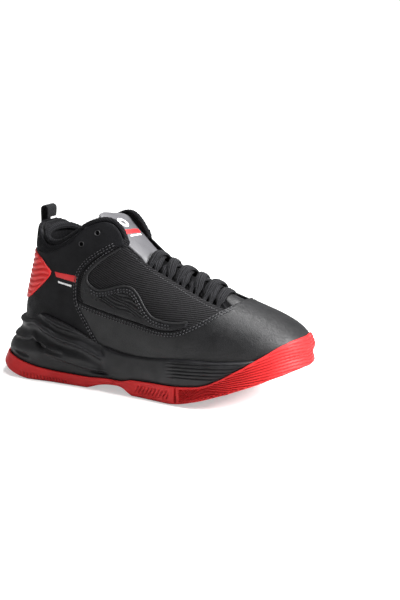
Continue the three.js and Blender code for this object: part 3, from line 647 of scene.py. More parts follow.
def moulded(name, dark, light, rough, speck=1500.0, depth=0.00006, groove=None, shine=0.4):
    """Moulded rubber, foam or plastic with a fine spark texture. groove darkens its cut-in parts as painted
    shade.
    """
    patch = 40.0
    material, tree, shader = surface(name, rough[0], specular_ior_level=shine)
    bump(tree, shader, noise(tree, speck, 3.0), depth, 0.8)
    tone = two_tone(tree, shader, blotches(tree, patch), dark, light)
    if groove is not None:
        # Painted shade: the deeper the groove, the darker the colour.
        groove_shade = node(tree, "Attribute", attribute_name="edge").outputs["Fac"]
        mix = node(tree, "Mix", {"Factor": 1.0}, data_type="RGBA", blend_type="MULTIPLY")
        tree.links.new(tone.outputs["Result"], mix.inputs["A"])
        tree.links.new(map_range(tree, groove_shade, 0.1, 1.1, 1.0, groove), mix.inputs["B"])
        tree.links.new(mix.outputs["Result"], shader.inputs["Base Color"])
    tree.links.new(blotches(tree, patch * 3, to=rough), shader.inputs["Roughness"])
    return material


# Each look: its maker, dark and light colours, and the maker's own values.
LOOKS = {
    "satin_leather": (leather, (0.004, 0.004, 0.0046), (0.0085, 0.0085, 0.0095),
                      dict(rough=(0.4, 0.5), shine=0.36)),
    "matte_leather": (leather, (0.0035, 0.0035, 0.0043), (0.0075, 0.0075, 0.009),
                      dict(rough=(0.5, 0.62), grain=1100.0, shine=0.14)),
    "grey_leather": (leather, (0.058, 0.057, 0.062), (0.082, 0.081, 0.087),
                     dict(rough=(0.4, 0.5), depth=0.00006)),
    "overlay": (leather, (0.0035, 0.0035, 0.0042), (0.011, 0.011, 0.0125),
                dict(rough=(0.26, 0.4), grain=1400.0, shine=0.28)),
    "rib": (solid_knit, (0.0022, 0.0022, 0.0027), (0.011, 0.011, 0.0125), dict(pitch=2.6, depth=0.0006)),
    "knit": (solid_knit, (0.002, 0.002, 0.0026), (0.0085, 0.0085, 0.01), dict(pitch=1.5)),
    "sock": (woven, (0.005, 0.005, 0.006), (0.013, 0.013, 0.0145), dict(pitch=1.5)),
    "woven": (woven, (0.003, 0.003, 0.0034), (0.026, 0.0252, 0.027),
              dict(pitch=1.9, slope=0.3, depth=0.0005)),
    "lining": (woven, (0.002, 0.002, 0.0026), (0.0085, 0.0085, 0.0098),
               dict(pitch=2.4, slope=0.0, depth=0.0004)),
    "webbing": (woven, (0.003, 0.003, 0.0037), (0.015, 0.015, 0.0167), dict(pitch=1.3, slope=1.0)),
    "lace": (woven, (0.004, 0.004, 0.0046), (0.026, 0.026, 0.029), dict(pitch=1.5, slope=0.0, depth=0.0005)),
    # Paler grey than the black thread: a painted highlight on the stitches.
    "thread": (moulded, (0.02, 0.02, 0.023), (0.042, 0.042, 0.046),
               dict(rough=(0.4, 0.5), speck=4000.0, shine=0.5)),
    "seam": (moulded, (0.0025, 0.0025, 0.003), (0.006, 0.006, 0.007), dict(rough=(0.5, 0.6), shine=0.12)),
    # The rubber's grooves get painted shade, down to 0.6 of its colour.
    "red_rubber": (moulded, (0.43, 0.012, 0.0135), (0.51, 0.0185, 0.0195),
                   dict(rough=(0.46, 0.6), groove=0.6, shine=0.2)),
    "red_plastic": (moulded, (0.56, 0.014, 0.0145), (0.66, 0.022, 0.022),
                    dict(rough=(0.34, 0.46), shine=0.28)),
    "foam": (moulded, (0.0045, 0.0045, 0.0053), (0.009, 0.009, 0.0105),
             dict(rough=(0.4, 0.54), depth=0.0001, shine=0.3)),
    "red_print": (moulded, (0.5, 0.015, 0.017), (0.56, 0.022, 0.024), dict(rough=(0.4, 0.5))),
    "white_print": (moulded, (0.62, 0.62, 0.62), (0.7, 0.7, 0.7), dict(rough=(0.4, 0.5))),
    "plastic": (moulded, (0.012, 0.012, 0.013), (0.03, 0.03, 0.032), dict(rough=(0.3, 0.4))),
    "board": (moulded, (0.03, 0.03, 0.032), (0.05, 0.05, 0.054), dict(rough=(0.8, 0.9))),
    "padding": (moulded, (0.004, 0.004, 0.0045), (0.009, 0.009, 0.01),
                dict(rough=(0.85, 0.95), depth=0.0003)),
}
MATERIALS = {}
for look_name, (make, dark_colour, light_colour, values) in LOOKS.items():
    MATERIALS[look_name] = make(look_name, dark_colour, light_colour, **values)


# ---------------------------------------------------------------------------- panels
# How far the panels' faces stand over the woven ones.
TOE_LIFT, QUARTER_LIFT, OVERLAY_LIFT = 0.75, 1.15, 1.5
ROWS, OVERLAY_ROWS = (1.5, 3.6), (2.2, 4.4)  # a double seam's rows, from the edge
TUCK = 4.0  # how far a lower panel reaches under the next one
HIDDEN = 0.1  # share of a section's half that the sole hides
HEEL_S = 11.6  # the section at which the quarters meet the sole at the heel
PUNCH_R, RIM_R = 2.1, 0.35
PIPING_R, PIPING_LIFT = 0.9, 0.95
COUNTER_RIBS, COUNTER_Z = 10, (71.0, 121.0)


def cut(line, low=-1e9, high=1e9, axis=0):
    """The part of a line whose x (or z) lies between two values."""
    return line[(line[:, axis] >= low) & (line[:, axis] <= high)]


def beside(line, d):
    """A line moved to its left by d."""
    t = unit(np.gradient(line, axis=0))
    return line + d * np.stack([-t[:, 1], t[:, 0]], 1)


def trim_to_skin(line):
    """Side-view points that lie over the skin, short of the ridge."""
    t = share_up(line, SKIN.locate(line)[:, 0])
    return line[(t < 0.999) & (t > 0.002)]


def circle(centre, radius, n, turns=1.0):
    a = np.linspace(0, turns * 2 * np.pi, n)
    return np.array(centre) + radius * np.stack([np.cos(a), np.sin(a)], 1)


def build_toe_panel():
    """Smooth leather over the toes, up to the toe seam on both sides."""
    seam = trim_to_skin(cut(curve(TOE_SEAM), low=83))
    front = cut(curve(QUARTER_SEAM), low=10, axis=1)
    front = front[front[:, 1] < seam[0, 1]] - np.array([TUCK, 0])
    halves = {side: np.vstack([on(seam, side)[::-1], on(front, side)]) for side in (LATERAL, MEDIAL)}
    toe = np.stack([np.linspace(halves[LATERAL][-1, 0], 0.35, 120), np.full(120, -HIDDEN)], 1)
    outline = np.vstack([halves[LATERAL], toe[1:], toe[::-1][:-1] * (1, -1), halves[MEDIAL][::-1]])
    piece = panel("toe_and_vamp", outline, "ridge", outer=TOE_LIFT, inner=-0.4, slot="smooth_leather",
                  look="satin_leather")
    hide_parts("toe_and_vamp_panel")
    for side in (LATERAL, MEDIAL):
        for d in ROWS:
            stitch_line(trim_to_skin(beside(seam, -d)), side, TOE_LIFT)


def build_woven_panels():
    """Ribbed cloth along the throat, with the seam of its folded edge."""
    throat = cut(curve(THROAT), low=131)
    under_toe = trim_to_skin(cut(beside(curve(TOE_SEAM), -TUCK), low=86))
    under_quarter = beside(cut(curve(QUARTER_SEAM), low=74, axis=1), -TUCK)
    under_quarter = under_quarter[(under_quarter[:, 1] > 78) & (under_quarter[:, 0] < 131)]
    for name, side in SIDES.items():
        end = on(under_toe, side)[-1]
        start = on(throat[-1:], side)[0]
        curl = np.sin(np.linspace(0, np.pi / 2, 16)) ** 0.6
        top = np.stack([np.linspace(start[0], end[0], 16), start[1] + (side * 0.995 - start[1]) * curl], 1)
        back = [on(under_toe, side)[::-1], on(under_quarter, side)[::-1]]
        outline = np.vstack([on(throat, side), top[1:-1], *back])
        piece = panel(f"woven_{name}", outline, "ridge", inner=-1.4, roundness=0.6, slot="woven_cloth",
                      look="woven")
        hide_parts(f"woven_panel_{name}")
        row = cut(beside(throat, -2.2), low=133)
        stitch_line(row, side, 0.0, bead=False, pitch=2.6, length=1.9, radius=0.32)


def build_quarters():
    """Matte leather round the heel and ankle, with the two unused top lace holes."""
    seam = cut(curve(QUARTER_SEAM), high=131)
    edge = beside(curve(COLLAR), -2.0)
    pad = cut(cut(curve(PAD_SEAM), low=24, high=148, axis=1), low=33)
    top = edge[(edge[:, 0] > pad[-1, 0] + 1) & (edge[:, 0] < 130)]
    front = seam[(seam[:, 1] < top[-1, 1] - 1) & (seam[:, 1] > 16)]
    n = 110
    for name, side in SIDES.items():
        start = on(front[-1:], side)[0]
        sole = np.stack([np.linspace(start[0], HEEL_S, n), side * np.linspace(abs(start[1]), 0.09, n)], 1)
        heel = on(pad[:1], side)[0]
        back = np.stack([np.linspace(HEEL_S, heel[0] + 0.15, n), np.full(n, side * 0.0015)], 1)
        outline = np.vstack([on(pad, side), on(top, side), on(front, side), sole[1:], back[1:]])
        holes = [on(circle(centre, PUNCH_R, 17)[:-1], side) for centre in PUNCHES]
        piece = panel(f"quarter_{name}", outline, "back", outer=QUARTER_LIFT, inner=-0.4, holes=holes,
                      slot="matte_leather", look="matte_leather")
        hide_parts(f"quarter_panel_{name}")
        for centre in PUNCHES:
            rim = over(circle(centre, PUNCH_R + 0.2, 27, turns=1.04), side, QUARTER_LIFT - 0.1)
            RIMS.append(sweep(*rim, 2 * RIM_R, 2 * RIM_R, sides=8))
        for d in ROWS:
            stitch_line(beside(front, -d), side, QUARTER_LIFT)


def build_overlays():
    """The flowing overlay on each side, with its raised edge, its double seam and the brushed field in it."""
    top = curve(OVERLAY_TOP)
    low = beside(cut(curve(TOE_SEAM), low=91, high=203), 1.4)
    outline = np.vstack([top, low[::-1], curve(OVERLAY_BACK)])
    field = curve(OVERLAY_FIELD, closed=True)

    def relief(points, edge):
        x, z = points[:, 0], points[:, 2]
        flat = points[:, [0, 2]]
        depth = np.where(inside(flat, field), gap_to(flat, field), 0)
        across = x * 0.3 + z + 0.8 * np.sin(x * 0.21)
        streaks = np.sin(across * 2 * np.pi / 2.7 + 1.1 * np.sin(x * 0.33 + z * 0.6))
        return smoothstep(depth, 0.2, 1.6) * (0.42 * streaks - 0.3)

    for name, side in SIDES.items():
        piece = panel(f"overlay_{name}", on(outline, side), "ridge", outer=OVERLAY_LIFT, inner=0.05,
                      roundness=0.9, step=0.85, relief=relief, slot="smooth_leather", look="overlay")
        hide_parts(f"side_overlay_{name}")
        cord = sweep(*over(beside(top, 0.5)[2:-1], side, PIPING_LIFT), 2 * PIPING_R, 2 * PIPING_R, sides=10)
        new_piece(f"overlay_piping_{name}", *cord, slot="smooth_leather", look="satin_leather")
        for d in OVERLAY_ROWS:
            row = beside(top, -d)
            stitch_line(cut(row[row[:, 0].argmin():], low=98, high=188), side, OVERLAY_LIFT)
        row = beside(top, -OVERLAY_ROWS[0])
        stitch_line(cut(row[:row[:, 0].argmin()], high=120), side, OVERLAY_LIFT)


def build_counter():
    """The moulded red cage round the heel, ribbed across."""
    line = curve(COUNTER, step=1.2)
    outline = np.vstack([on(line, LATERAL), on(line, MEDIAL)[::-1]])

    def relief(points, edge):
        z = points[:, 2] + 2.2 * np.sin((points[:, 0] - 20) * 0.16)
        turn = (z - COUNTER_Z[0]) / (COUNTER_Z[1] - COUNTER_Z[0]) * COUNTER_RIBS
        rib = 0.5 + 0.5 * np.cos(2 * np.pi * turn)
        return smoothstep(edge, 1.0, 3.2) * (0.95 * rib**0.8 - 0.75)

    piece = panel("heel_counter", outline, "back", outer=2.3, inner=0.4, roundness=1.3, step=0.95,
                  relief=relief, slot="counter_plastic", look="red_plastic")
    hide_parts("heel_counter_cage")


def build_prints():
    """Plain bars where the shoe is printed."""
    bars = (("quarter_bar_red", RED_BAR, "red_print"), ("quarter_bar_white", WHITE_BAR, "white_print"))
    for name, corners, look in bars:
        line = np.vstack([np.linspace(a, b, 8)[:-1] for a, b in zip(corners, corners[1:] + corners[:1])])
        panel(name, on(line, LATERAL), "back", outer=QUARTER_LIFT + 0.18, inner=QUARTER_LIFT - 0.3,
              roundness=0.3, step=1.2, slot="matte_leather", look=look)


# ---------------------------------------------------------------------------- padded pieces
PRESSURE, FRAMES, CLOTH_MASS = 4.0, 20, 0.2


def evaluated(piece):
    """A new mesh of a piece with its modifiers applied."""
    return bpy.data.meshes.new_from_object(piece.evaluated_get(bpy.context.evaluated_depsgraph_get()))


def coordinates(mesh):
    flat = np.empty(3 * len(mesh.vertices))
    mesh.vertices.foreach_get("co", flat)
    return flat.reshape(-1, 3)


def puff(piece, voxel, cap):
    """Let a closed padded piece swell like stuffed cloth: no point moves farther than cap millimetres."""
    scene = bpy.context.scene
    trial = bpy.data.objects.new(piece.name + "_trial", piece.data.copy())
    scene.collection.objects.link(trial)
    remesh = trial.modifiers.new("remesh", "REMESH")
    remesh.mode = "VOXEL"
    remesh.voxel_size = voxel * MM
    even = evaluated(trial)
    trial.modifiers.clear()
    trial.data = even
    start = coordinates(even)
    cloth_sim = trial.modifiers.new("cloth", "CLOTH")
    cloth_sim.settings.quality = 6
    cloth_sim.settings.mass = CLOTH_MASS
    cloth_sim.settings.use_pressure = True
    cloth_sim.settings.uniform_pressure_force = PRESSURE
    cloth_sim.settings.effector_weights.gravity = 0.0
    cloth_sim.point_cache.frame_start, cloth_sim.point_cache.frame_end = 1, FRAMES
    for frame_number in range(1, FRAMES + 1):
        scene.frame_set(frame_number)
    move = coordinates(evaluated(trial)) - start
    trial.modifiers.clear()
    size = np.linalg.norm(move, axis=1, keepdims=True)
    move *= np.minimum(1, cap * MM / np.maximum(size, 1e-9))
    even.vertices.foreach_set("co", (start + move).ravel())
    even.update()
    smooth = trial.modifiers.new("subdivision", "SUBSURF")
    smooth.levels = smooth.render_levels = 1
    material = piece.data.materials[0]
    piece.data = evaluated(trial)
    piece.data.materials.clear()
    piece.data.materials.append(material)
    piece.data.shade_smooth()
    bpy.data.objects.remove(trial)
    scene.frame_set(1)


# ---------------------------------------------------------------------------- collar
BINDING_R = 2.6
COLLAR_MIDDLE = -2.8  # the roll's middle, from the skin
COLLAR_TRIM = 8  # points left out where the two sides meet at the heel
ROLL_STEP = 0.8
RIB_PITCH, RIB_SHARE = 3.2, 0.045  # the roll's ribs
ANKLE_CENTRE = (75.0, 0.0, 90.0)  # the roll's section faces away from here
LINING_FRONT, LINING_BACK, LINING_LOW = 130.0, 40.0, 40.0


def collar_route():
    """The collar's edge round the heel, from the outer side's blunt end to the inner side's."""
    line = curve(COLLAR, step=ROLL_STEP)
    outer, inner = (over(line, side, COLLAR_MIDDLE)[0] for side in (LATERAL, MEDIAL))
    route = np.vstack([outer[::-1][:-COLLAR_TRIM], inner[COLLAR_TRIM:]])
    heel = np.exp(-((np.arange(len(route)) - len(route) / 2) / 44.0) ** 2)[1:-1, None]
    for _ in range(220):
        route[1:-1] += 0.5 * heel * (0.5 * (route[:-2] + route[2:]) - route[1:-1])
    return curve(route, step=ROLL_STEP)


def build_collar_roll():
    """The padded, ribbed roll along the foot opening, thicker at the heel and closed at its ends."""
    route = collar_route()
    n = len(route)
    k = np.arange(n)
    ends = np.minimum(k, k[::-1]) * ROLL_STEP
    size = 2 * BINDING_R * np.sqrt(np.clip(1 - (1 - np.clip(ends / 2.4, 0, 1)) ** 2, 0.05, 1))
    heel = 1 + 0.3 * np.exp(-((k - n / 2) / (0.2 * n)) ** 2)
    size = size * (1 + RIB_SHARE * np.cos(2 * np.pi * k * ROLL_STEP / RIB_PITCH))
    verts, faces, uv = sweep(route, unit(route - ANKLE_CENTRE), size * 1.05, size * heel, sides=22)
    uv[:, 1] *= 2 * np.pi * BINDING_R
    piece = new_piece("collar_roll", verts, faces, uv, slot="collar_cloth", look="knit")
    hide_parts("collar_binding")


def build_heel_pad():
    """The wide padded cloth at the back of the collar."""
    below = beside(cut(curve(PAD_SEAM), low=33, high=146), -1.5)
    top = cut(beside(curve(COLLAR), -0.5), high=88)
    top = top[top[:, 0] > 31.5]
    around = [on(below, MEDIAL), on(top, MEDIAL)[::-1], on(top, LATERAL)]
    outline = np.vstack([on(below, LATERAL)[::-1], *around])

    def relief(points, edge):
        return 1.9 * np.sqrt(np.clip(1 - (1 - np.clip(edge / 7.5, 0, 1)) ** 2, 0, 1)) - 0.5

    piece = panel("heel_collar_pad", outline, "back", outer=0.2, inner=-2.4, roundness=0.8, step=1.8,
                  relief=relief, slot="collar_cloth", look="knit")
    puff(piece, 1.7, 1.2)
    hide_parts("heel_collar_cover")


def build_ankle_lining():
    """The padded, ribbed cloth inside the ankle, down to the insole."""
    edge = beside(curve(COLLAR), -1.2)
    edge = edge[(edge[:, 0] > 31) & (edge[:, 0] < LINING_FRONT - 1)]
    n = 60
    front = np.stack([np.full(n, LINING_FRONT), np.linspace(edge[-1, 1] - 2, LINING_LOW, n)], 1)
    floor = np.stack([np.linspace(LINING_FRONT, LINING_BACK, n), np.full(n, LINING_LOW)], 1)
    lateral, medial = (on(np.vstack([edge, front, floor[1:]]), side) for side in (LATERAL, MEDIAL))

    def relief(points, edge):
        ribs = np.cos(2 * np.pi * (points[:, 2] + 0.12 * points[:, 0]) / 4.2)
        return -smoothstep(edge, 0, 5) * (0.35 * ribs + 2.2 * smoothstep(points[:, 2], 90, 125))

    piece = panel("ankle_lining_cloth", np.vstack([lateral, medial[::-1]]), "back", outer=-4.3, inner=-5.8,
                  inner_relief=relief, step=1.8, roundness=0.6, slot="lining_cloth", look="lining")
    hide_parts("ankle_lining")


# ---------------------------------------------------------------------------- sole
SOLE_OUTLINE = [(0, 0), (9, -24), (42, -39), (100, -41), (150, -45), (205, -52), (250, -47), (284, -26),
                (298, 7), (285, 36), (254, 51), (208, 55), (152, 46), (100, 40), (42, 38.5), (9, 24)]
TREAD = [(0, 11), (14, 4.5), (34, 0), (96, 0), (111, 4.5), (124, 6.5), (136, 6), (148, 0), (188, 0),
         (211, 4.5), (245, 15.5), (267, 24), (287, 32), (297, 36)]
OUTSOLE_TOP = [(0, 19.5), (16, 17.5), (36, 14), (51, 12), (69, 11), (99, 10.5), (120, 12), (136, 12),
               (146, 14.5), (168, 16), (195, 17), (219, 20), (234, 26), (258, 40), (274, 50.5), (290, 59.5),
               (297, 62)]
MIDSOLE_TOP = [(0, 61), (36, 63), (55, 61), (80, 54), (101, 46), (120, 40), (143, 37.5), (169, 39), (199, 42),
               (234, 43), (262, 46), (297, 50)]
# The folds of the midsole's wall, in side view.
CREST = [(-2, 52), (10, 51.5), (25, 51.5), (39, 54), (54, 49), (65, 44.5), (77, 42), (89, 40), (99, 37),
         (118, 31)]
WAVE = [(-2, 36.5), (12, 36), (28, 37.5), (36, 40.5), (42, 38), (50, 32.5), (63, 31.5), (74, 30)]
CREASE = [(52, 28), (68, 24), (86, 20), (105, 17.5), (121, 17)]
NOTCH = np.array([(40, 36.5), (47, 30.8), (63, 30.6), (54, 34), (46, 37.4)])

HEEL_SPAN, HEEL_FLARE, HEEL_FOOT, HEEL_LEAN = 60.0, 7.0, 15.0, 0.41
TOE_LEAN_FROM, TOE_LEAN_TO, TOE_LEAN = 262.0, 297.0, 5.5
WRAP = 2.2  # how far the rubber stands out from the sole's outline
RUBBER = 4.5  # its thickness under the foam
TREAD_ROUND = 3.0
TOE_WRAP = (205, 235)  # where the rubber starts to follow the upper, and where it does so fully
TOE_COVER = 2.6  # the rubber's thickness over the upper
GROOVE_START = 197  # the fan of grooves and the pivot line start here
GROOVE_DEPTH = 1.35
TREAD_DEPTH, BAR_PITCH, ZIGZAG = 1.7, 6.2, 22  # the herringbone's depth, pitch and width
OUTSOLE_STEP, MIDSOLE_STEP, GROUND_STEP = 0.72, 0.95, 1.35  # the meshes' spacing
OUTSOLE_LIP = [(0.35, 0.35), (1.1, 0.5), (1.8, 0.3)]
MIDSOLE_LIP = [(1.2, 0.25), (2.6, 0.2), (4.5, -0.6), (8.0, -3.0)]
MIDSOLE_ROUND = 2.5
FOAM_GAP = 0.6  # between the foam's underside and the rubber
BED_GAP = 0.2


def height_at(profile, x):
    profile = np.asarray(profile, float)
    at = np.interp(x, profile[:, 0], np.arange(len(profile)))
    return np.maximum(0, catmull(profile, at)[..., 1])


def ring(step):
    """Points round the sole's outline, with outward normals."""
    line = curve(SOLE_OUTLINE, step=step, closed=True)
    t = unit(np.roll(line, -1, 0) - np.roll(line, 1, 0))
    n = np.stack([t[:, 1], -t[:, 0]], 1)
    return line, n * np.sign(((line - line.mean(0)) * n).sum())


def wall_rows(line, normal, rows):
    """Rings of points. Each row is (offset, z) with one value or one for each point of the outline."""
    x = line[:, 0]
    tread, top = height_at(TREAD, x), height_at(OUTSOLE_TOP, x)
    out = []
    for offset, z in rows:
        z = np.broadcast_to(z, len(line)).astype(float)
        heel = (1 - smoothstep(x, 0, HEEL_SPAN)) * (HEEL_FLARE - HEEL_LEAN * (z - HEEL_FOOT))
        up = np.clip((z - tread - TREAD_ROUND) / (top - tread), 0, 1)
        toe = TOE_LEAN * smoothstep(x, TOE_LEAN_FROM, TOE_LEAN_TO) * up
        out.append(np.column_stack([line + normal * (offset + heel - toe)[:, None], z]))
    return np.stack(out)


def rolled_in(last, normal, height, steps):
    """Rings that follow the last one inwards. Each step is how far in and how far over the height."""
    return [np.column_stack([last[:, :2] - normal * inward, height + up]) for inward, up in steps]


class Nearest:
    """Signed distance to the upper's skin."""

    def __init__(self):
        s = np.linspace(0.05, 16.9, 150)
        w = np.concatenate([np.linspace(-1, 0, 60)[:-1], [1e-6], np.linspace(0, 1, 60)[1:]])
        s_grid, w_grid = np.meshgrid(s, w, indexing="ij")
        points, _ = SKIN.at(s_grid.ravel(), w_grid.ravel())
        self.tree = BVHTree.FromPolygons([Vector(p) for p in points], grid_faces(len(s), len(w)))

    def distance(self, points):
        out = []
        for p in points:
            place, _, _, _ = self.tree.find_nearest(Vector(p))
            away = Vector(p) - place
            centre = Vector((min(max(p[0], 60), 250), 3, 0.5 * (place.z + 40)))
            out.append(away.length if (place - centre).dot(away) > 0 else -away.length)
        return np.array(out)


NEAREST = Nearest()


def soft_max(a, b, k=0.8):
    return 0.5 * (a + b + np.sqrt((a - b) ** 2 + k**2))


def plate(loop, height, step):
    """A filled sheet whose edge is a loop of (x, y, z). height(x, y) gives the heights inside it."""
    border = loop[:, :2]
    grid = raster(border, step)
    grid = grid[inside(grid, border)]
    flat, faces = triangulate([border], [grid[gap_to(grid, border) > 0.6 * step]])
    z = height(*flat.T)
    for k in np.flatnonzero(gap_to(flat, border) < 1e-3):
        near = np.abs(border - flat[k]).sum(1)
        if near.min() < 1e-4:
            z[k] = loop[near.argmin(), 2]
    return np.column_stack([flat, z]), faces.tolist()


def pulse(x, width, soft):
    """1 in a groove and 0 on the land, for x that counts grooves."""
    d = np.abs((x % 1) - 0.5)
    return 1 - smoothstep(d, width / 2 - soft / 2, width / 2 + soft / 2)


def along_from(line, x_start):
    """Distance along the outline from where it passes x_start on its own side, towards the toe."""
    tip = int(line[:, 0].argmax())
    length = distances(np.vstack([line, line[:1]]))
    ahead = np.abs(length[:-1] - length[tip])
    ahead = np.minimum(ahead, length[-1] - ahead)
    out = np.zeros(len(line))
    for sign in (-1, 1):
        side = np.sign(line[:, 1] - line[tip, 1] + 1e-9) == sign
        side[tip] = True
        start = ahead[side][np.abs(line[side, 0] - x_start).argmin()]
        out[side] = start - ahead[side]
    return out


def sidewall_grooves(x, along, share):
    """Depth of the rubber's grooves. share goes from the tread (0) to the top edge (1)."""
    hooks = share - 2.2 * np.exp(-np.maximum(along, 0) / 40)
    fan = pulse(hooks / 0.105, 0.42, 0.2) * window(share, 0.03, 0.08, 0.9, 0.95)
    depth = (1.0 - 0.45 * smoothstep(x, 262, 292)) * fan * smoothstep(along, 2.5, 4.5)
    depth += 1.5 * (np.abs(along) < 1.0) * window(share, 0.08, 0.15, 0.94, 0.99)
    crescents = pulse((x + 3.2 * np.cos(np.pi * share)) / 3.9, 0.4, 0.22)
    depth += 0.9 * crescents * window(x, 150, 156, 188, 192) * window(share, 0.25, 0.38, 0.72, 0.85)
    teeth = pulse((x + 2 * share) / 3.4, 0.45, 0.2)
    depth += 0.8 * teeth * window(x, 26, 30, 76, 82) * window(share, 0.02, 0.08, 0.4, 0.52)
    return depth


def build_outsole():
    """The red rubber: tread, side bands with their grooves, and the wrap over the toe."""
    line, normal = ring(OUTSOLE_STEP)
    x = line[:, 0]
    tread, top = height_at(TREAD, x), height_at(OUTSOLE_TOP, x)
    foot = tread + TREAD_ROUND
    turn = np.linspace(0, math.pi / 2, 6)
    rows = [(WRAP - 4 + 4 * math.sin(a), foot - TREAD_ROUND * math.cos(a)) for a in turn]
    rows += [(WRAP, foot + (top - foot) * t) for t in np.linspace(0, 1, 50)[1:]]
    outer = wall_rows(line, normal, rows)
    front = x > TOE_WRAP[0]
    for row in outer:
        gap = np.full(len(line), 9.0)
        gap[front] = NEAREST.distance(row[front])
        push = smoothstep(x, *TOE_WRAP) * np.where(gap < 6, soft_max(TOE_COVER - gap, 0) - 0.05, 0)
        row[:, :2] += normal * push[:, None]
    depth = sidewall_grooves(x, along_from(line, GROOVE_START), (outer[..., 2] - tread) / (top - tread))
    outer[..., :2] -= normal * (GROOVE_DEPTH * depth)[..., None]
    lip = rolled_in(outer[-1], normal, top, OUTSOLE_LIP)
    under = np.column_stack([lip[-1][:, :2], np.maximum(tread + RUBBER + 0.5, top - 8)])
    base = wall_rows(line, normal, [(-6.0, tread + RUBBER)])
    grid = np.stack([*outer, *lip, under, *base])
    # The grooves' depth goes with the mesh, for the painted shade that darkens them.
    groove_shade = np.zeros(grid.shape[:2])
    groove_shade[:len(depth)] = depth
    solid = Solid()
    solid.add(grid.reshape(-1, 3), grid_faces(len(grid), len(line), True), groove_shade.ravel())

    def ground(x, y):
        """Herringbone bars, left out under the arch, and a flex line across the ball."""
        fold = np.abs((y + 60) % ZIGZAG - ZIGZAG / 2)
        bars = pulse((x + 0.85 * fold) / BAR_PITCH, 0.36, 0.16) * (1 - window(x, 100, 106, 142, 148))
        flex = np.abs(x - GROOVE_START - 0.0025 * (y - 2) ** 2) < 1.2
        rim = gap_to(np.column_stack([x, y]), grid[0][:, :2])
        return height_at(TREAD, x) + TREAD_DEPTH * np.maximum(bars, flex) * smoothstep(rim, 3.2, 4.0)

    solid.add(*plate(grid[0], ground, GROUND_STEP))
    solid.add(*plate(grid[-1], lambda x, y: height_at(TREAD, x) + RUBBER, 9.0))
    piece = solid.piece("outsole_rubber", slot="outsole_rubber", look="red_rubber", sharp=50)
    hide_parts("outsole")


def gauss(d, width):
    return np.exp(-((d / width) ** 2))


def near_line(x, z, points):
    """Signed height over a side-view line, and a share that fades to 0 past its ends."""
    line = curve(points, step=1.0)
    first, last = line[0, 0], line[-1, 0]
    return z - np.interp(x, line[:, 0], line[:, 1]), window(x, first - 2, first + 3, last - 6, last + 1)


def pit(x, z, height):
    return np.exp(-((x / 9) ** 2 + (z / height) ** 2) ** 2)


def midsole_relief(x, z, low, high):
    """How far the sculpted foam stands out from its plain wall."""
    out = np.sin(np.pi * np.clip((z - low) / (high - low), 0, 1))
    rise, ends = near_line(x, z, CREST)
    out += ends * (2.6 * gauss(rise, 2.6) - 2.2 * window(rise, 1.0, 3.5, 7, 11))
    out -= ends * 1.7 * gauss(rise + 7.5, 4.5)
    out += 2.4 * gauss(z - 27, 7.0) * (1 - smoothstep(x, 80, 125))
    rise, ends = near_line(x, z, WAVE)
    out += ends * (1.5 * window(rise, -1.2, 0.4, 0.8, 5.5) - 0.9 * gauss(rise + 2.2, 1.6))
    flat = np.column_stack([x, z])
    out -= 2.2 * np.where(inside(flat, NOTCH), np.minimum(gap_to(flat, NOTCH), 1.2), 0)
    out -= 2.0 * pit(x - 26, z - 22.5 + 0.12 * (x - 26), 1.7)
    out -= 2.2 * pit(x - 112, z - 16.5, 1.5)
    rise, ends = near_line(x, z, CREASE)
    out += ends * (0.7 * window(rise, -0.8, 0.5, 0.5, 4) - 0.5 * gauss(rise + 1.4, 1.2))
    slope = z - 0.075 * (x - 200)
    lines = window(x, 184, 196, 250, 262) * window(slope, 24, 26, 41.5, 43)
    return out - 0.75 * lines * pulse(slope / 3.1, 0.34, 0.2)


def build_midsole():
    """The sculpted black foam between the upper and the rubber."""
    line, normal = ring(MIDSOLE_STEP)
    x = line[:, 0]
    rim, tread, top = (height_at(profile, x) for profile in (MIDSOLE_TOP, TREAD, OUTSOLE_TOP))
    low = np.maximum(np.minimum(top - 3, rim - 9), tread + RUBBER + FOAM_GAP)
    rows = []
    for t in np.linspace(0, 1, 56):
        z = low + (rim - low) * t
        free = smoothstep(z - top, -0.5, 3.5)
        rows.append((-0.3 + free * midsole_relief(x, z, low, rim) - rounding(rim - z, MIDSOLE_ROUND), z))
    walls = wall_rows(line, normal, rows)
    inner = wall_rows(line, normal, [(-14.0, bed(x) + BED_GAP)])
    inner[..., 2] = np.minimum(inner[..., 2], rim - 4)
    base = wall_rows(line, normal, [(-9.0, low)])
    grid = np.stack([*base, *walls, *rolled_in(walls[-1], normal, rim, MIDSOLE_LIP), *inner])
    solid = Solid()
    solid.add(grid.reshape(-1, 3), grid_faces(len(grid), len(line), True))
    solid.add(*plate(grid[0], lambda x, y: height_at(TREAD, x) + RUBBER + FOAM_GAP, 9.0))
    solid.add(*plate(grid[-1], lambda x, y: bed(x) + BED_GAP, 9.0))
    piece = solid.piece("midsole_foam", slot="midsole_foam", look="foam", sharp=50)
    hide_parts("midsole")


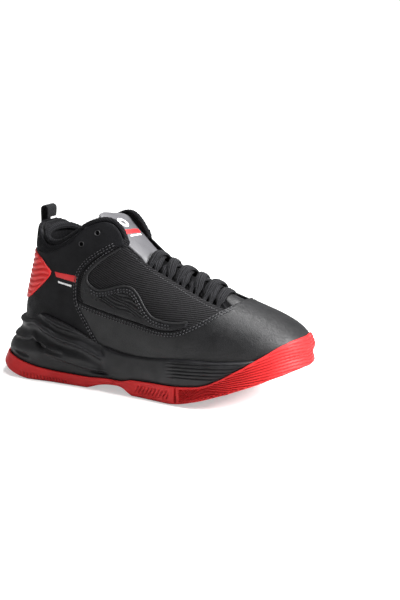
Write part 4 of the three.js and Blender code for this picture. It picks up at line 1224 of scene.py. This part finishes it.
def build_insole():
    """The moulded foot bed with its cloth top."""
    top, bottom, cupped = 7.3, 3.1, 2.6  # over the skin's floor, and how much higher its edge stands
    x = np.linspace(28, 282, 110)
    s, w = on(np.column_stack([x, bed(x) + 5]), MEDIAL).T
    points, _ = SKIN.at(s, w)
    middle = np.interp(s, SKIN.S, SKIN.centre)
    ends = np.sqrt(np.clip((x - 27.5) / 16, 0, 1) * np.clip((282.5 - x) / 16, 0, 1))
    half = np.maximum(np.abs(points[:, 1] - middle) - 7, 6) * ends
    sides = [np.column_stack([x, middle - half]), np.column_stack([x, middle + half])[::-1]]
    loop = curve(np.vstack(sides), step=2.0, closed=True)

    def cup(x, y):
        edge = gap_to(np.column_stack([x, y]), loop)
        return bed(x) + top + cupped * (1 - smoothstep(edge, 0, 12))

    shrunk = loop + 0.8 * unit(loop.mean(0) - loop)
    rows = [(loop, bed(loop[:, 0]) + bottom), (loop, cup(*loop.T) - 0.6), (shrunk, cup(*shrunk.T))]
    grid = np.stack([np.column_stack(row) for row in rows])
    solid = Solid()
    solid.add(grid.reshape(-1, 3), grid_faces(len(grid), len(loop), True))
    solid.add(*plate(grid[-1], cup, 4.0))
    solid.add(*plate(grid[0], lambda x, y: bed(x) + bottom, 12.0))
    piece = solid.piece("insole_bed", slot="lining_cloth", look="sock", sharp=50)
    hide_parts("insole")


# ---------------------------------------------------------------------------- tongue
TONGUE_LINE = [(238, 85), (215, 93.5), (190, 102), (167, 110.5), (150, 117.5), (147, 119), (124, 137.5),
               (101, 156)]
FOLD = (147.0, 119.0)
TONGUE_SAG, FLAP_SAG = 0.03, 0.012
TOP_LEAN = (8.0, 2.5)  # how much farther and higher the top's outer corner stands
TOP_OUT = (4.0, 4.0)  # how much lower and farther forward its inner corner stands
CORNER = 20.0  # how far from the middle a corner counts in full
TONGUE_HALF, FOLD_HALF, TOP_HALF = 18.0, 15.4, 21.0  # half widths at the toe, at the fold and near the top
TONGUE_PAD, FLAP_PAD = 4.6, 7.4  # thicknesses
CROWN = 0.5  # how much the face swells along its middle
PRINT_TOP, PRINT_BOTTOM = 2.12, 1.5  # a print's faces, over the tongue's own
MARK_R, DOT_R = 5.6, 2.6


def instep_centre(x):
    return np.maximum(0, 0.04 * (x - 171))


class Tongue:
    """The tongue's face as a sheet: f goes along it from the toe and v across it, in millimetres."""

    line = curve(TONGUE_LINE, step=1.0)
    length = distances(line)
    total = length[-1]
    fold = length[np.linalg.norm(line - FOLD, axis=1).argmin()]

    def at(self, f, v, depth=0.0):
        """Points at f along and v across, depth under the face, and the face's normals."""
        p = read_off(f, self.length, self.line)
        ahead = unit(read_off(f + 0.7, self.length, self.line) - read_off(f - 0.7, self.length, self.line))
        up = np.stack([ahead[..., 1], -ahead[..., 0]], -1)
        up *= np.where(up[..., 1:] < 0, -1, 1)
        sag = TONGUE_SAG + (FLAP_SAG - TONGUE_SAG) * smoothstep(f, self.fold - 8, self.fold + 8)
        lean = smoothstep(f, self.fold + 8, self.total)
        outer, inner = np.clip(-v / CORNER, 0, 1), np.clip(v / CORNER, 0, 1)
        drop = sag * v**2 + depth - lean * (TOP_LEAN[1] * outer**2 + TOP_OUT[1] * inner**2)
        reach = np.where(v < 0, TOP_LEAN[0], TOP_OUT[0]) * lean * -v / CORNER
        x = p[..., 0] - up[..., 0] * drop - up[..., 1] * reach
        z = p[..., 1] - up[..., 1] * drop + up[..., 0] * reach
        normal = unit(np.stack([up[..., 0], 2 * sag * v, up[..., 1]], -1))
        return np.stack([x, v + instep_centre(p[..., 0]), z], -1), normal


TONGUE = Tongue()


def build_tongue():
    """One padded sheet from the toe to over the collar, which bends at the top lace row."""
    total, fold = TONGUE.total, TONGUE.fold
    n, around = 110, 44
    f = np.linspace(2, total - 0.4, n)
    half = TONGUE_HALF + (FOLD_HALF - TONGUE_HALF) * smoothstep(f, fold - 22, fold)
    half += (TOP_HALF - FOLD_HALF) * smoothstep(f, fold + 0.62 * (total - fold), total)
    end = 1 - np.clip((total - f) / 13.0, 0, 1)
    half = half * np.maximum((1 - end**2.6) ** (1 / 2.6), 0.55)
    pad = TONGUE_PAD + (FLAP_PAD - TONGUE_PAD) * smoothstep(f, fold - 10, fold + 15)
    end = 1 - np.clip((total - f) / 5.0, 0, 1)
    pad = pad * np.sqrt(np.clip(1 - end**2, 0.06, 1)) * np.clip((f - 1.5) / 6.0, 0.1, 1)
    a = 2 * np.pi * np.arange(around) / around
    across = power(np.cos(a), 0.72)
    crown = CROWN * np.maximum(0, np.sin(a)) * np.cos(across * np.pi / 2)
    depth = pad[:, None] * (0.5 - 0.5 * power(np.sin(a), 0.75)) - crown
    grid, _ = TONGUE.at(np.repeat(f[:, None], around, 1), half[:, None] * across, depth)
    uv = np.stack([np.repeat(f, around), np.tile(a / (2 * np.pi) * 80, n)], 1)
    piece = new_piece("tongue_pad", grid.reshape(-1, 3), tube_faces(n, around), uv, sharp=60,
                      slot="woven_cloth", body=None, look="rib")
    puff(piece, 2.0, 1.0)
    ends = [TONGUE.at(np.array([fold + d]), np.zeros(1), 3.0)[0][0] * MM + SHIFT for d in (-7, 5)]
    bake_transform(piece)
    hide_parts("tongue_base", "tongue_flap")


def tongue_patch(name, border, top, bottom, step, radius, look, slot="grey_leather", body="tongue"):
    """A thin sheet on the tongue inside a border of (f, v)."""
    grid = raster(border, step)
    grid = grid[inside(grid, border)]
    grid = grid[gap_to(grid, border) > max(radius, 0.5 * step)]
    rings = [border + unit(border.mean(0) - border) * d for d in (0.35 * radius, radius)]
    flat, faces = triangulate([border], [*rings, grid])
    edge = gap_to(flat, border)
    upper, normals = TONGUE.at(*flat.T, rounding(edge, radius) - top)
    lower, _ = TONGUE.at(*flat.T, -bottom)
    return sheet(name, upper, lower, normals, faces, flat, edge, slot=slot, body=body, look=look)


def rounded_box(f0, f1, half0, half1, radii, step=0.8):
    """A border of (f, v) with rounded corners, half0 wide at f0 and half1 at f1."""
    corners = np.array([(f0, -half0), (f1, -half1), (f1, half1), (f0, half0)], float)
    t = np.linspace(0, 1, 14)[:, None]
    parts = []
    for k, r in enumerate(radii):
        p = corners[k]
        a, b = p + unit(corners[k - 1] - p) * r, p + unit(corners[(k + 1) % 4] - p) * r
        parts.append((1 - t) ** 2 * a + 2 * t * (1 - t) * p + t**2 * b)
    line = np.vstack([*parts, parts[0][:1]])
    length = distances(line)
    return read_off(np.linspace(0, length[-1], int(length[-1] / step))[:-1], length, line)


def build_tongue_face():
    """The smooth patch over the flap, with a plain ring and two plain bars where it is printed."""
    total = TONGUE.total
    border = rounded_box(TONGUE.fold - 3.5, total - 1.0, 14.6, 20.6, (5, 13, 13, 5))
    face = tongue_patch("tongue_face", border, 1.9, 0.1, 1.6, 0.9, "grey_leather")
    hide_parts("tongue_face_panel")
    hub = (total - 14.5, 0.0)
    disc, dot = circle(hub, MARK_R, 49)[:-1], circle(hub, DOT_R, 49)[:-1]
    tongue_patch("tongue_mark_disc", disc, PRINT_TOP, PRINT_BOTTOM, 1.4, 0.2, "white_print")
    tongue_patch("tongue_mark_dot", dot, PRINT_TOP + 0.18, PRINT_BOTTOM + 0.2, 1.0, 0.2, "grey_leather")
    bar = rounded_box(total - 28.5, total - 23.5, 11, 11.5, (0.8,) * 4, step=0.6) + np.array([0, 1.5])
    tongue_patch("tongue_bar_red", bar, PRINT_TOP, PRINT_BOTTOM, 1.4, 0.2, "red_print")
    thin = rounded_box(total - 31.8, total - 30.0, 8.5, 8.8, (0.5,) * 4, step=0.6) + np.array([0, 1.5])
    tongue_patch("tongue_bar_white", thin, PRINT_TOP, PRINT_BOTTOM, 1.0, 0.2, "white_print")


def build_vamp_tip():
    """The small smooth leather half round at the throat's toe end."""
    a = np.linspace(0, np.pi, 30)
    border = np.vstack([np.stack([3 + 19 * np.sin(a), 12.5 * np.cos(a)], 1),
                        np.linspace((2.0, -12.0), (2.0, 12.0), 24)])
    tongue_patch("vamp_tip", border, 2.2, 0.0, 1.6, 0.9, "satin_leather", slot="smooth_leather", body="shoe")


# ---------------------------------------------------------------------------- pull tab
TAB_W, TAB_GAP, TAB_H, WEB, TAB_BASE = 15.0, 5.6, 12.0, 1.4, 146.5
TAB_SEWN = [124.5, 128, 133, 140, 145.4]  # heights along the sewn part
TAB_SIDES = 40


def build_pull_tab():
    """A webbing strap, sewn on the heel and folded into a loop over the collar."""
    z = np.array(TAB_SEWN)
    s = on(np.column_stack([np.full(len(z), 33.0), z]), MEDIAL)[:, 0]
    back, _ = SKIN.at(s, np.full(len(z), 1e-6), 1.0)
    x = np.interp(z, back[:, 2], back[:, 0]) - 0.3
    sewn = np.column_stack([x - 1.3 * (z < 140), z])
    half = (TAB_GAP + WEB) / 2
    top = np.array([x[-1], TAB_BASE])
    a = np.linspace(np.pi, 0, 13)
    bend = top + np.column_stack([half + half * np.cos(a), TAB_H - half + 0.85 * half * np.sin(a)])
    tip = top + np.array([(2 * half - 0.3, 4.0), (2 * half - 0.8, 0.8)])
    line = curve(np.vstack([sewn, top[None], bend, tip]), step=0.9)
    points = np.column_stack([line[:, 0], np.zeros(len(line)), line[:, 1]])
    normals = np.cross(np.gradient(points, axis=0), (0, 1, 0))
    verts, faces, uv = sweep(points, normals, TAB_W, WEB, sides=TAB_SIDES, squareness=7.0)
    turn = 2 * np.pi * (np.arange(TAB_SIDES) + 0.5) / TAB_SIDES
    uv[:, 1] = np.tile(np.cos(turn) * TAB_W / 2, len(points))
    piece = new_piece("pull_tab_strap", verts, faces, uv, sharp=60, slot="webbing", body=None, look="webbing")
    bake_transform(piece)
    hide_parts("pull_tab_anchor", "pull_tab_loop")
    outward = np.tile([-1.0, 0, 0.2], (12, 1))
    side = TAB_W / 2 - 1.6
    rows = [((y, y), (126, 144)) for y in (-side, side)] + [((-side, side), (z, z)) for z in (127.5, 143.5)]
    for across, heights in rows:
        z = np.linspace(*heights, 12)
        face = np.interp(z, sewn[:, 1], sewn[:, 0]) - WEB / 2 - 0.05
        row = np.column_stack([face, np.linspace(*across, 12), z])
        stitch(row, outward, pitch=2.4, length=1.8, radius=0.28)


# ---------------------------------------------------------------------------- laces
LACE_W, LACE_T, LACE_ROWS = 8.0, 3.4, 6
LACE_UNDER, LACE_OVER, LACE_LIFT, TURN = -6.4, 3.0, 3.4, 2.9
ROW_FIRST, ROW_LAST = 0.15, 0.8  # shares of the throat's edge
LACE_INSET, LACE_ARCH = 3.5, 1.6  # how far behind the edge it turns, and how high each row arches
STRAND_SHARES = (0.2, 0.34, 0.5, 0.66, 0.8)
# The lace's ends, which are tucked in beside the tongue.
TUCKED = [(138, 18.6, 113.5), (124, 19.2, 108), (108, 18.4, 99), (94, 17, 89), (84, 15.8, 81)]


def turn_point(row, side, shift):
    """Where the lace passes under the throat's edge, shift along it from the middle of its row."""
    edge = curve(THROAT[::-1], step=0.5)
    length = distances(edge)
    at = (ROW_FIRST + (ROW_LAST - ROW_FIRST) * row / (LACE_ROWS - 1)) * length[-1] + shift
    p = read_off(at, length, edge)
    t = unit(read_off(at + 0.5, length, edge) - p)
    return over([p - LACE_INSET * np.abs(t[::-1])], side, LACE_UNDER)[0][0]


def tongue_height(x, y):
    line = np.array(TONGUE_LINE[:5][::-1], float)
    return np.interp(x, line[:, 0], line[:, 1]) - TONGUE_SAG * (y - instep_centre(x)) ** 2


def strand(a, b, lift):
    """Points of the lace over the tongue, from a to b."""
    out = []
    for share in STRAND_SHARES:
        x, y, _ = a + (b - a) * share
        hump = lift * smoothstep(1 - abs(2 * share - 1), 0.3, 0.8)
        arch = LACE_ARCH * math.sin(math.pi * share)
        out.append(np.array([x, y, tongue_height(x, y) + LACE_OVER + arch + hump]))
    return out


def lace_route():
    """From the top row down to the lowest one, across it, and up again under the first strands."""
    top = LACE_ROWS - 1
    side_at = [LATERAL if row % 2 else MEDIAL for row in range(LACE_ROWS)]
    route = [np.array([x, side_at[top] * y, z]) for x, y, z in TUCKED[::-1]]
    for row in range(top, -1, -1):
        side = side_at[row]
        route += [turn_point(row, side, TURN), turn_point(row, side, -TURN)]
        if row > 0:
            route += strand(route[-1], turn_point(row - 1, -side, TURN), LACE_LIFT)
    route += strand(route[-1], turn_point(0, -side_at[0], -TURN), 0)
    for row in range(LACE_ROWS):
        side = -side_at[row]
        route += [turn_point(row, side, -TURN), turn_point(row, side, TURN)]
        if row < top:
            route += strand(route[-1], turn_point(row + 1, -side, -TURN), 0)
    route += [np.array([x, -side_at[top] * y, z]) for x, y, z in TUCKED]
    return curve(np.array(route), step=1.3)


def build_lace():
    """One flat-oval ribbed lace through all rows."""
    path = lace_route()
    x, y = path[:, 0], path[:, 1]
    tucked = smoothstep(-x, -150, -138)[:, None]
    sideways = np.column_stack([np.zeros(len(x)), np.sign(y), np.full(len(x), 0.01)])
    flat = np.column_stack([np.full(len(x), 0.35), 2 * TONGUE_SAG * y, np.full(len(x), 0.93)])
    normals = unit(flat * (1 - tucked) + sideways * tucked)
    for _ in range(6):
        normals[1:-1] = normals[:-2] + normals[1:-1] + normals[2:]
        normals = unit(normals)
    width = LACE_W - 4.2 * smoothstep(np.abs(y), 11, 16)
    thick = LACE_T - 1.2 * smoothstep(np.abs(y), 12, 17)
    verts, faces, uv = sweep(path, normals, width, thick, sides=40, squareness=2.4, ribs=0.07)
    uv[:, 1] *= 2 * (LACE_W + LACE_T)
    piece = new_piece("lace", verts, faces, uv, sharp=70, slot="lace_cord", look="lace")
    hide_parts("shoelace")


build_toe_panel()
build_woven_panels()
build_quarters()
build_overlays()
build_counter()
build_prints()
build_heel_pad()
build_collar_roll()
build_ankle_lining()
build_outsole()
build_midsole()
build_insole()
build_tongue()
build_tongue_face()
build_vamp_tip()
build_pull_tab()
build_lace()
finish_seams()


# ---------------------------------------------------------------------------- CAD nodes that stay
STAYING = {"shank_plate": "plastic", "strobel_board": "board", "toe_puff": "board", "heel_stiffener": "board",
           "vamp_lining": "lining"}
for side_name in SIDES:
    STAYING[f"collar_foam_{side_name}"] = "padding"
    STAYING[f"eyestay_{side_name}"] = "webbing"
    STAYING[f"aglet_{side_name}"] = "plastic"
    for row in range(1, LACE_ROWS + 1):
        STAYING[f"lace_loop_{side_name}_{row}"] = "webbing"
for node_name, look in STAYING.items():
    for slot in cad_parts[node_name].material_slots:
        slot.material = MATERIALS[look]


# ---------------------------------------------------------------------------- stage
FLOOR = 40.0
LIGHTS = {"top": ((0.25, 0.25, 1.5), 1.0, 38), "left": ((-1.1, -1.2, 0.7), 0.8, 0.2),
          "right": ((1.3, 0.1, 0.8), 0.6, 62)}  # place, width and power
WORLD_STRENGTH = 0.31  # what the world lights with. The camera sees it in full.


def build_floor():
    """A pale floor that glows more with distance, for the camera only."""
    mesh = bpy.data.meshes.new("floor")
    corners = [(-FLOOR, -FLOOR, 0), (FLOOR, -FLOOR, 0), (FLOOR, FLOOR, 0), (-FLOOR, FLOOR, 0)]
    mesh.from_pydata(corners, [], [(0, 1, 2, 3)])
    floor = bpy.data.objects.new("floor", mesh)
    bpy.context.scene.collection.objects.link(floor)
    material, tree, shader = surface("floor", 0.9, specular_ior_level=0.0, emission_color=(1, 1, 1, 1))
    two_tone(tree, shader, blotches(tree, 2.0), (0.6, 0.6, 0.6), (0.62, 0.62, 0.62))
    where = node(tree, "TexCoord").outputs["Object"]
    away = node(tree, "VectorMath", {0: where}, operation="LENGTH").outputs["Value"]
    seen = node(tree, "LightPath").outputs["Is Camera Ray"]
    strength = math_node(tree, "MULTIPLY", map_range(tree, away, 0.5, 2.2, 0.46, 0.9), seen)
    tree.links.new(strength, shader.inputs["Emission Strength"])
    mesh.materials.append(material)


def build_lights():
    scene = bpy.context.scene
    world = bpy.data.worlds.new("studio")
    world.use_nodes = True
    tree = world.node_tree
    background = tree.nodes["Background"]
    background.inputs["Color"].default_value = (1, 1, 1, 1)
    seen = node(tree, "LightPath").outputs["Is Camera Ray"]
    tree.links.new(map_range(tree, seen, 0.0, 1.0, WORLD_STRENGTH, 1.0), background.inputs["Strength"])
    scene.world = world
    scene.view_settings.view_transform = "Standard"
    for name, (place, size, power_watts) in LIGHTS.items():
        data = bpy.data.lights.new(name, "AREA")
        data.shape = "RECTANGLE"
        data.size, data.size_y = size, size * 0.6
        data.energy = power_watts
        light = bpy.data.objects.new(name, data)
        light.location = place
        light.rotation_euler = (Vector((0, 0, 0.06)) - Vector(place)).to_track_quat("-Z", "Y").to_euler()
        scene.collection.objects.link(light)


AZIMUTH, ELEVATION = math.radians(30), math.radians(14)
CAMERA_DISTANCE, LENS = 1.5, 98.5  # metres and millimetres
AIM_RIGHT, AIM_UP = 0.0379, 0.0192  # where the camera looks, from the shoe's middle


def build_camera():
    """Round from the outer side towards the toe, and a little up."""
    right = Vector((math.cos(AZIMUTH), math.sin(AZIMUTH), 0))
    level = Vector((math.sin(AZIMUTH), -math.cos(AZIMUTH), 0))
    back = level * math.cos(ELEVATION) + Vector((0, 0, math.sin(ELEVATION)))
    up = right.cross(-back)
    middle = Vector((150 * MM, 0, 60 * MM)) + Vector(SHIFT)
    data = bpy.data.cameras.new("camera")
    data.lens = LENS
    camera = bpy.data.objects.new("camera", data)
    camera.location = middle + back * CAMERA_DISTANCE
    aim = middle + right * AIM_RIGHT + up * AIM_UP
    camera.rotation_euler = (aim - camera.location).to_track_quat("-Z", "Y").to_euler()
    bpy.context.scene.collection.objects.link(camera)
    bpy.context.scene.camera = camera


build_floor()
build_lights()
build_camera()
